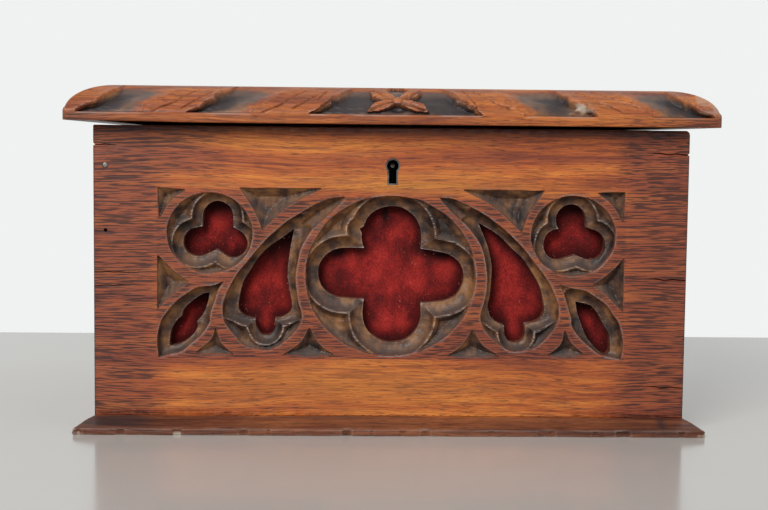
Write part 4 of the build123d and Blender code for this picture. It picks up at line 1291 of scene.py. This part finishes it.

# %% [markdown]
# The cloth is one sheet that bulges softly into each opening. Its painted shade is worked out from the
# openings: dark along their edges, and darker towards the top, where the rails shade it.
# %% Stretch the velvet
columns, rows = 158, 57
grid = np.array([(x, z) for z in np.linspace(31.8, 121.7, rows) for x in np.linspace(-126, 126, columns)])
opening_gap = np.full(len(grid), -20.0)
velvet_shade_share = np.ones(len(grid))
spots = grid - (0, panel_foot)
for loop in openings:
    gap = distance(loop, spots)[0]
    height = (spots[:, 1] - loop[:, 1].min()) / np.ptp(loop[:, 1])
    # The shade of the rail reaches further down in the smaller openings
    start = 0.72 if np.ptp(loop[:, 1]) > 60 else 0.48
    shade = np.maximum(0.8 * (1 - rise(gap / 6.5)), 0.96 * rise((height - start) / 0.42) * (gap > -1))
    velvet_shade_share = np.where(gap > opening_gap, shade, velvet_shade_share)
    opening_gap = np.maximum(opening_gap, gap)
# Painted shade of soft folds: (across, up, half width, half height) of each dark place behind the quatrefoil
fold_shades = [(-3.2, 103, 2, 7), (-28, 84, 7, 4), (27, 83, 7, 4), (-35, 70, 7, 9), (35, 70, 6, 9)]
fold_shades += [(-9.5, 50, 4.5, 8), (12, 50, 4, 8), (-10, 94, 6, 8), (9, 84, 4, 7)]
for number, (x, z, wide, tall) in enumerate(fold_shades):
    fold_shade = soft_spot(*spots.T, x, z, wide, tall)
    velvet_shade_share = np.maximum(velvet_shade_share, np.minimum(1.0, 1.3 * fold_shade) if number < 3 else 0.62 * fold_shade)
puff = 1.3 * rise(opening_gap / 7)
waves = 0.45 * ripple(grid * (1, 0.4), 18, 61) * rise(opening_gap / 4)
velvet_vertices = np.column_stack((grid[:, 0], -83.5 - puff + waves, grid[:, 1])) * MM
velvet = mesh_object("velvet", velvet_vertices, grid_faces(rows, columns), [crushed_velvet], 180)
write_value(velvet.data, "pinched", velvet_shade_share)
thick = velvet.modifiers.new("cloth", "SOLIDIFY")
thick.thickness = 0.0009
thick.offset = -1
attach(velvet, "root")
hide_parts("velvet_lining")
print("velvet", len(velvet.data.polygons), "faces")


# %% [markdown]
# ## Metals
# The lock and hinges were cast or rolled and filed smooth, the nails and screws are iron that has
# rusted a little. One function makes each metal, with stains a few millimetres wide.
# %% Metal finishes
def metal(name, colour, spot, rough):
    """Aged metal: one colour with darker stains, duller where it is stained."""
    material, tree = new_material(name)
    place = add(tree, "ShaderNodeTexCoord").outputs["Object"]
    grime = add(tree, "ShaderNodeTexNoise", {"Vector": place, "Scale": 240.0, "Detail": 5.0})
    fine = add(tree, "ShaderNodeTexNoise", {"Vector": place, "Scale": 1500.0, "Detail": 2.0})
    tone = add(tree, "ShaderNodeValToRGB", {"Fac": grime}, [(0.38, spot), (0.6, colour)])
    dull = add(tree, "ShaderNodeMapRange", {"Value": grime, "To Min": rough + 0.2, "To Max": rough - 0.1})
    bump = add(tree, "ShaderNodeBump", {"Height": fine, "Strength": 0.25, "Distance": 0.0001})
    inputs = {"Base Color": tone, "Roughness": dull, "Normal": bump, "Metallic": 1.0}
    surface = add(tree, "ShaderNodeBsdfPrincipled", inputs)
    add(tree, "ShaderNodeOutputMaterial", {"Surface": surface})
    return material


aged_brass = metal("aged_rolled_brass", "A8854A", "5A4426", 0.4)
dark_steel = metal("darkened_filed_steel", "6E6B66", "36302C", 0.42)
black_steel = metal("blackened_lock_steel", "24211F", "15110F", 0.6)
rusty_iron = metal("rusted_wrought_iron", "5C534B", "35251B", 0.55)
rubbed_iron = metal("rubbed_wrought_iron", "7A756F", "433A34", 0.5)
print("metals", [m.name for m in bpy.data.materials if "oak" not in m.name])

# %% [markdown]
# ## Screws, nails, tacks and pins
# Each kind is turned once as a solid of revolution, and its slot is cut as a file cuts it. Geometry
# Nodes then sets one at every point of a small mesh, turned at random about its own length, because
# no two fasteners stop at the same angle. The points are the measured places of the bores.
# %% One of each fastener
def turned(name, outline, slot_width=0.0, slot_depth=0.0):
    """A solid of revolution from pairs of radius and height in mm, with a slot across its top."""
    around = 28
    angles = np.linspace(0, 2 * math.pi, around, endpoint=False)
    spots = [(0, 0, outline[0][1])]
    for radius, height in outline[1:-1]:
        spots += [(radius * math.cos(a), radius * math.sin(a), height) for a in angles]
    spots.append((0, 0, outline[-1][1]))
    last = len(spots) - 1
    faces = []
    for i in range(around):
        j = (i + 1) % around
        faces.append((0, 1 + i, 1 + j))
        for row in range(len(outline) - 3):
            first = 1 + row * around
            faces.append((first + i, first + around + i, first + around + j, first + j))
        faces.append((last, last - around + j, last - around + i))
    piece = mesh_object(name, np.array(spots) * MM, faces, (), 35)
    if slot_width:
        cut(piece, [((-9, -slot_width / 2, -slot_depth), (9, slot_width / 2, 9))])
        piece.data.set_sharp_from_angle(angle=math.radians(35))
    return piece


def screw_outline(length):
    """A countersunk wood screw: a plain neck, then ridges of thread down to a point."""
    outline = [(0, 0), (1.9, 0), (2.08, -0.08), (1.1, -1.2), (1.05, -2.6)]
    depth = -3.0
    while depth > -length + 1.6:
        outline += [(0.78, depth), (1.08, depth - 0.3), (0.78, depth - 0.6)]
        depth -= 0.9
    return [*outline, (0, -length)]


long_screw = turned("long_screw", screw_outline(11.0), 0.6, 0.55)
short_screw = turned("short_screw", screw_outline(8.0), 0.6, 0.55)
nail_outline = [(0, -0.05), (0.7, -0.06), (1.3, -0.16), (1.54, -0.36), (1.56, -0.8), (0.88, -0.9)]
nail = turned("nail", [*nail_outline, (0.86, -28.0), (0.5, -33.0), (0, -34.0)])
tack_outline = [(0, 0.0), (1.1, -0.06), (1.9, -0.26), (2.16, -0.5), (2.1, -0.6), (0.68, -0.6)]
tack = turned("tack", [*tack_outline, (0.6, -6.0), (0, -8.6)])
pin = turned("pin", [(0, 0), (0.5, 0), (0.58, -0.08), (0.58, -17.5), (0, -20.0)])
fasteners = (long_screw, short_screw, nail, tack, pin)
print("fasteners", [sample.name for sample in fasteners])


# %% [markdown]
# One node group does for all of them. It takes the places as a mesh of points, stands the fastener
# on each with its head facing outward, and turns it by a random angle about its own length. Lean
# tips it a little, as a tack that was not struck square.
# %% Geometry Nodes that set the fasteners
def fastener_nodes():
    """The node group, with its named inputs."""
    group = bpy.data.node_groups.new("set_fasteners", "GeometryNodeTree")
    sockets = [("Places", "Geometry"), ("Fastener", "Object"), ("Facing", "Vector"), ("Lean", "Float")]
    sockets += [("Seed", "Int"), ("Finish", "Material")]
    for label, kind in sockets:
        group.interface.new_socket(name=label, in_out="INPUT", socket_type=f"NodeSocket{kind}")
    group.interface.new_socket(name="Fasteners", in_out="OUTPUT", socket_type="NodeSocketGeometry")
    given = add(group, "NodeGroupInput").outputs
    shape = add(group, "GeometryNodeObjectInfo", {"Object": given["Fastener"]})
    most = add(group, "ShaderNodeCombineXYZ", {"X": given["Lean"], "Y": given["Lean"], "Z": math.pi})
    least = add(group, "ShaderNodeVectorMath", {0: most, 3: -1.0}, operation="SCALE")
    limits = {0: least, 1: most, "Seed": given["Seed"]}
    chance = add(group, "FunctionNodeRandomValue", limits, data_type="FLOAT_VECTOR")
    way = add(group, "FunctionNodeEulerToRotation", {0: given["Facing"]})
    spin = add(group, "FunctionNodeEulerToRotation", {0: chance.outputs[0]})
    both_turns = add(group, "FunctionNodeRotateRotation", {0: way, 1: spin}, rotation_space="LOCAL")
    inputs = {"Points": given["Places"], "Instance": shape.outputs["Geometry"], "Rotation": both_turns}
    placed = add(group, "GeometryNodeInstanceOnPoints", inputs)
    real = add(group, "GeometryNodeRealizeInstances", {"Geometry": placed})
    finished = add(group, "GeometryNodeSetMaterial", {"Geometry": real, "Material": given["Finish"]})
    add(group, "NodeGroupOutput", {"Fasteners": finished})
    return group


setter = fastener_nodes()
identifiers = {item.name: item.identifier for item in setter.interface.items_tree if item.in_out == "INPUT"}
# Which way a head looks, as turns of a fastener that stands with its head up
quarter = math.pi / 2
FACING = {"up": (0, 0, 0), "down": (2 * quarter, 0, 0), "front": (quarter, 0, 0), "back": (-quarter, 0, 0)}
print("inputs", list(identifiers))


def set_fasteners(node, body, fastener, facing, places, finish, lean=0.0):
    """Set one kind of fastener at places in mm, in the place of one measured node."""
    piece = mesh_object(f"set_{node}", np.array(places, float) * MM, [])
    change = piece.modifiers.new("set_fasteners", "NODES")
    change.node_group = setter
    values = {"Fastener": fastener, "Facing": FACING[facing], "Lean": lean, "Finish": finish}
    values["Seed"] = len(node)
    for label, value in values.items():
        change[identifiers[label]] = value
    done = apply_modifiers(piece)
    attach(piece, body)
    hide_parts(node)
    print(node, len(places), "set,", len(done.polygons), "faces")


# %% [markdown]
# The nails go through the front and back into the sides, and through the bottom. Four of the five
# front nails were punched 1.5 mm under the face and stopped; the sixth has fallen out.
# %% Set the fasteners
nail_heights = (24.0, 94.2, 126.8)
sides = (-1, 1)
front_places = [(-144, front_y, 126.8 + panel_foot), (-144, -96.5, 24.0 + panel_foot)]
front_places += [(144, -96.5, up + panel_foot) for up in nail_heights]
back_places = [(side * 144, 98, up + panel_foot) for side in sides for up in nail_heights]
bottom_places = [(side * 144, y, 0) for side in sides for y in (-50, 0, 50)]
bottom_places += [(side * 70, y, 0) for side in sides for y in (-91, 92)]
tack_places = [(side * 121, -78.9, up + panel_foot) for side in sides for up in (29, 70, 109)]
tack_places.append((0, -78.9, 29 + panel_foot))
strip_places = [(side * x, -108, 2.2) for side in sides for x in (50, 140)]
hinge_places = [(side * 95 + step, 93.2) for side in sides for step in (-12, 0, 12)]
box_places, lid_places = ([(x, y, z) for x, y in hinge_places] for z in (154.7, 156.3))
lock_places = [(side * 22.8, -84, up + panel_foot) for side in sides for up in (120.4, 138)]
link_places = [(side * 17, -88.4, 154.8) for side in sides]
set_fasteners("front_nails", "root", nail, "front", front_places, rubbed_iron)
set_fasteners("back_nails", "root", nail, "back", back_places, rusty_iron)
set_fasteners("bottom_nails", "root", nail, "down", bottom_places, rusty_iron)
set_fasteners("velvet_tacks", "root", tack, "back", tack_places, rusty_iron, lean=0.03)
set_fasteners("strip_pins", "root", pin, "front", strip_places, rusty_iron)
set_fasteners("hinge_box_screws", "root", long_screw, "up", box_places, rusty_iron)
set_fasteners("hinge_lid_screws", "lid", long_screw, "down", lid_places, rusty_iron)
set_fasteners("lock_screws", "root", short_screw, "back", lock_places, rusty_iron)
set_fasteners("link_screws", "lid", short_screw, "down", link_places, rusty_iron)
for sample in fasteners:
    bpy.data.objects.remove(sample)

# %% [markdown]
# ## Plain boards
# The sides, back, bottom and the board behind the velvet are plain sawn and planed oak and pine.
# Each measured solid is copied, its points are merged and its edges are eased by about half a
# millimetre, as sandpaper and a century of hands leave them.
# %% Ease the edges of the plain boards
sawn_pine = oak("sawn_pine", ALONG_X, "A07A48", "BC935A", "CCA672", "7A5630", "A88250")


def eased(node, width, finish):
    """A copy of a measured board with eased edges, which takes its place."""
    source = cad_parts[node]
    piece = place_object(f"eased_{node}", source.data.copy())
    shape = bmesh.new()
    shape.from_mesh(piece.data)
    bmesh.ops.remove_doubles(shape, verts=shape.verts, dist=1e-6)
    bmesh.ops.dissolve_limit(shape, angle_limit=math.radians(1), verts=shape.verts, edges=shape.edges)
    shape.to_mesh(piece.data)
    shape.free()
    ease = piece.modifiers.new("ease", "BEVEL")
    ease.width = width * MM
    ease.segments = 2
    ease.limit_method = "ANGLE"
    ease.angle_limit = math.radians(50)
    done = apply_modifiers(piece)
    done.materials.clear()
    done.materials.append(finish)
    done.shade_smooth()
    done.set_sharp_from_angle(angle=math.radians(30))
    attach(piece, "root")
    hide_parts(node)
    print(node, len(done.polygons), "faces")


for node in ("left_side", "right_side"):
    eased(node, 0.5, plain_oak_deep)
for node in ("back_panel", "bottom_board"):
    eased(node, 0.5, plain_oak_across)
eased("backing_board", 0.4, sawn_pine)

# %% [markdown]
# The hinges, lock and keyhole thread keep their measured solids and only get their finish. The lock
# is black inside, so the keyhole reads as a dark hole.
# %% Finish the remaining solids
finishes = {
    "keyhole_escutcheon": dark_steel,
    "lock_case": black_steel,
    "lock_cap": black_steel,
    "lock_bolt": dark_steel,
    "lock_spring": dark_steel,
    "lock_drill_pin": dark_steel,
    "link_plate": black_steel,
}
for side in ("left", "right"):
    for part in ("box_leaf", "lid_leaf", "pin"):
        finishes[f"{side}_hinge_{part}"] = aged_brass
for name, finish in finishes.items():
    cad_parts[name].data.materials.clear()
    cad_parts[name].data.materials.append(finish)
print("finished", len(finishes), "solids")
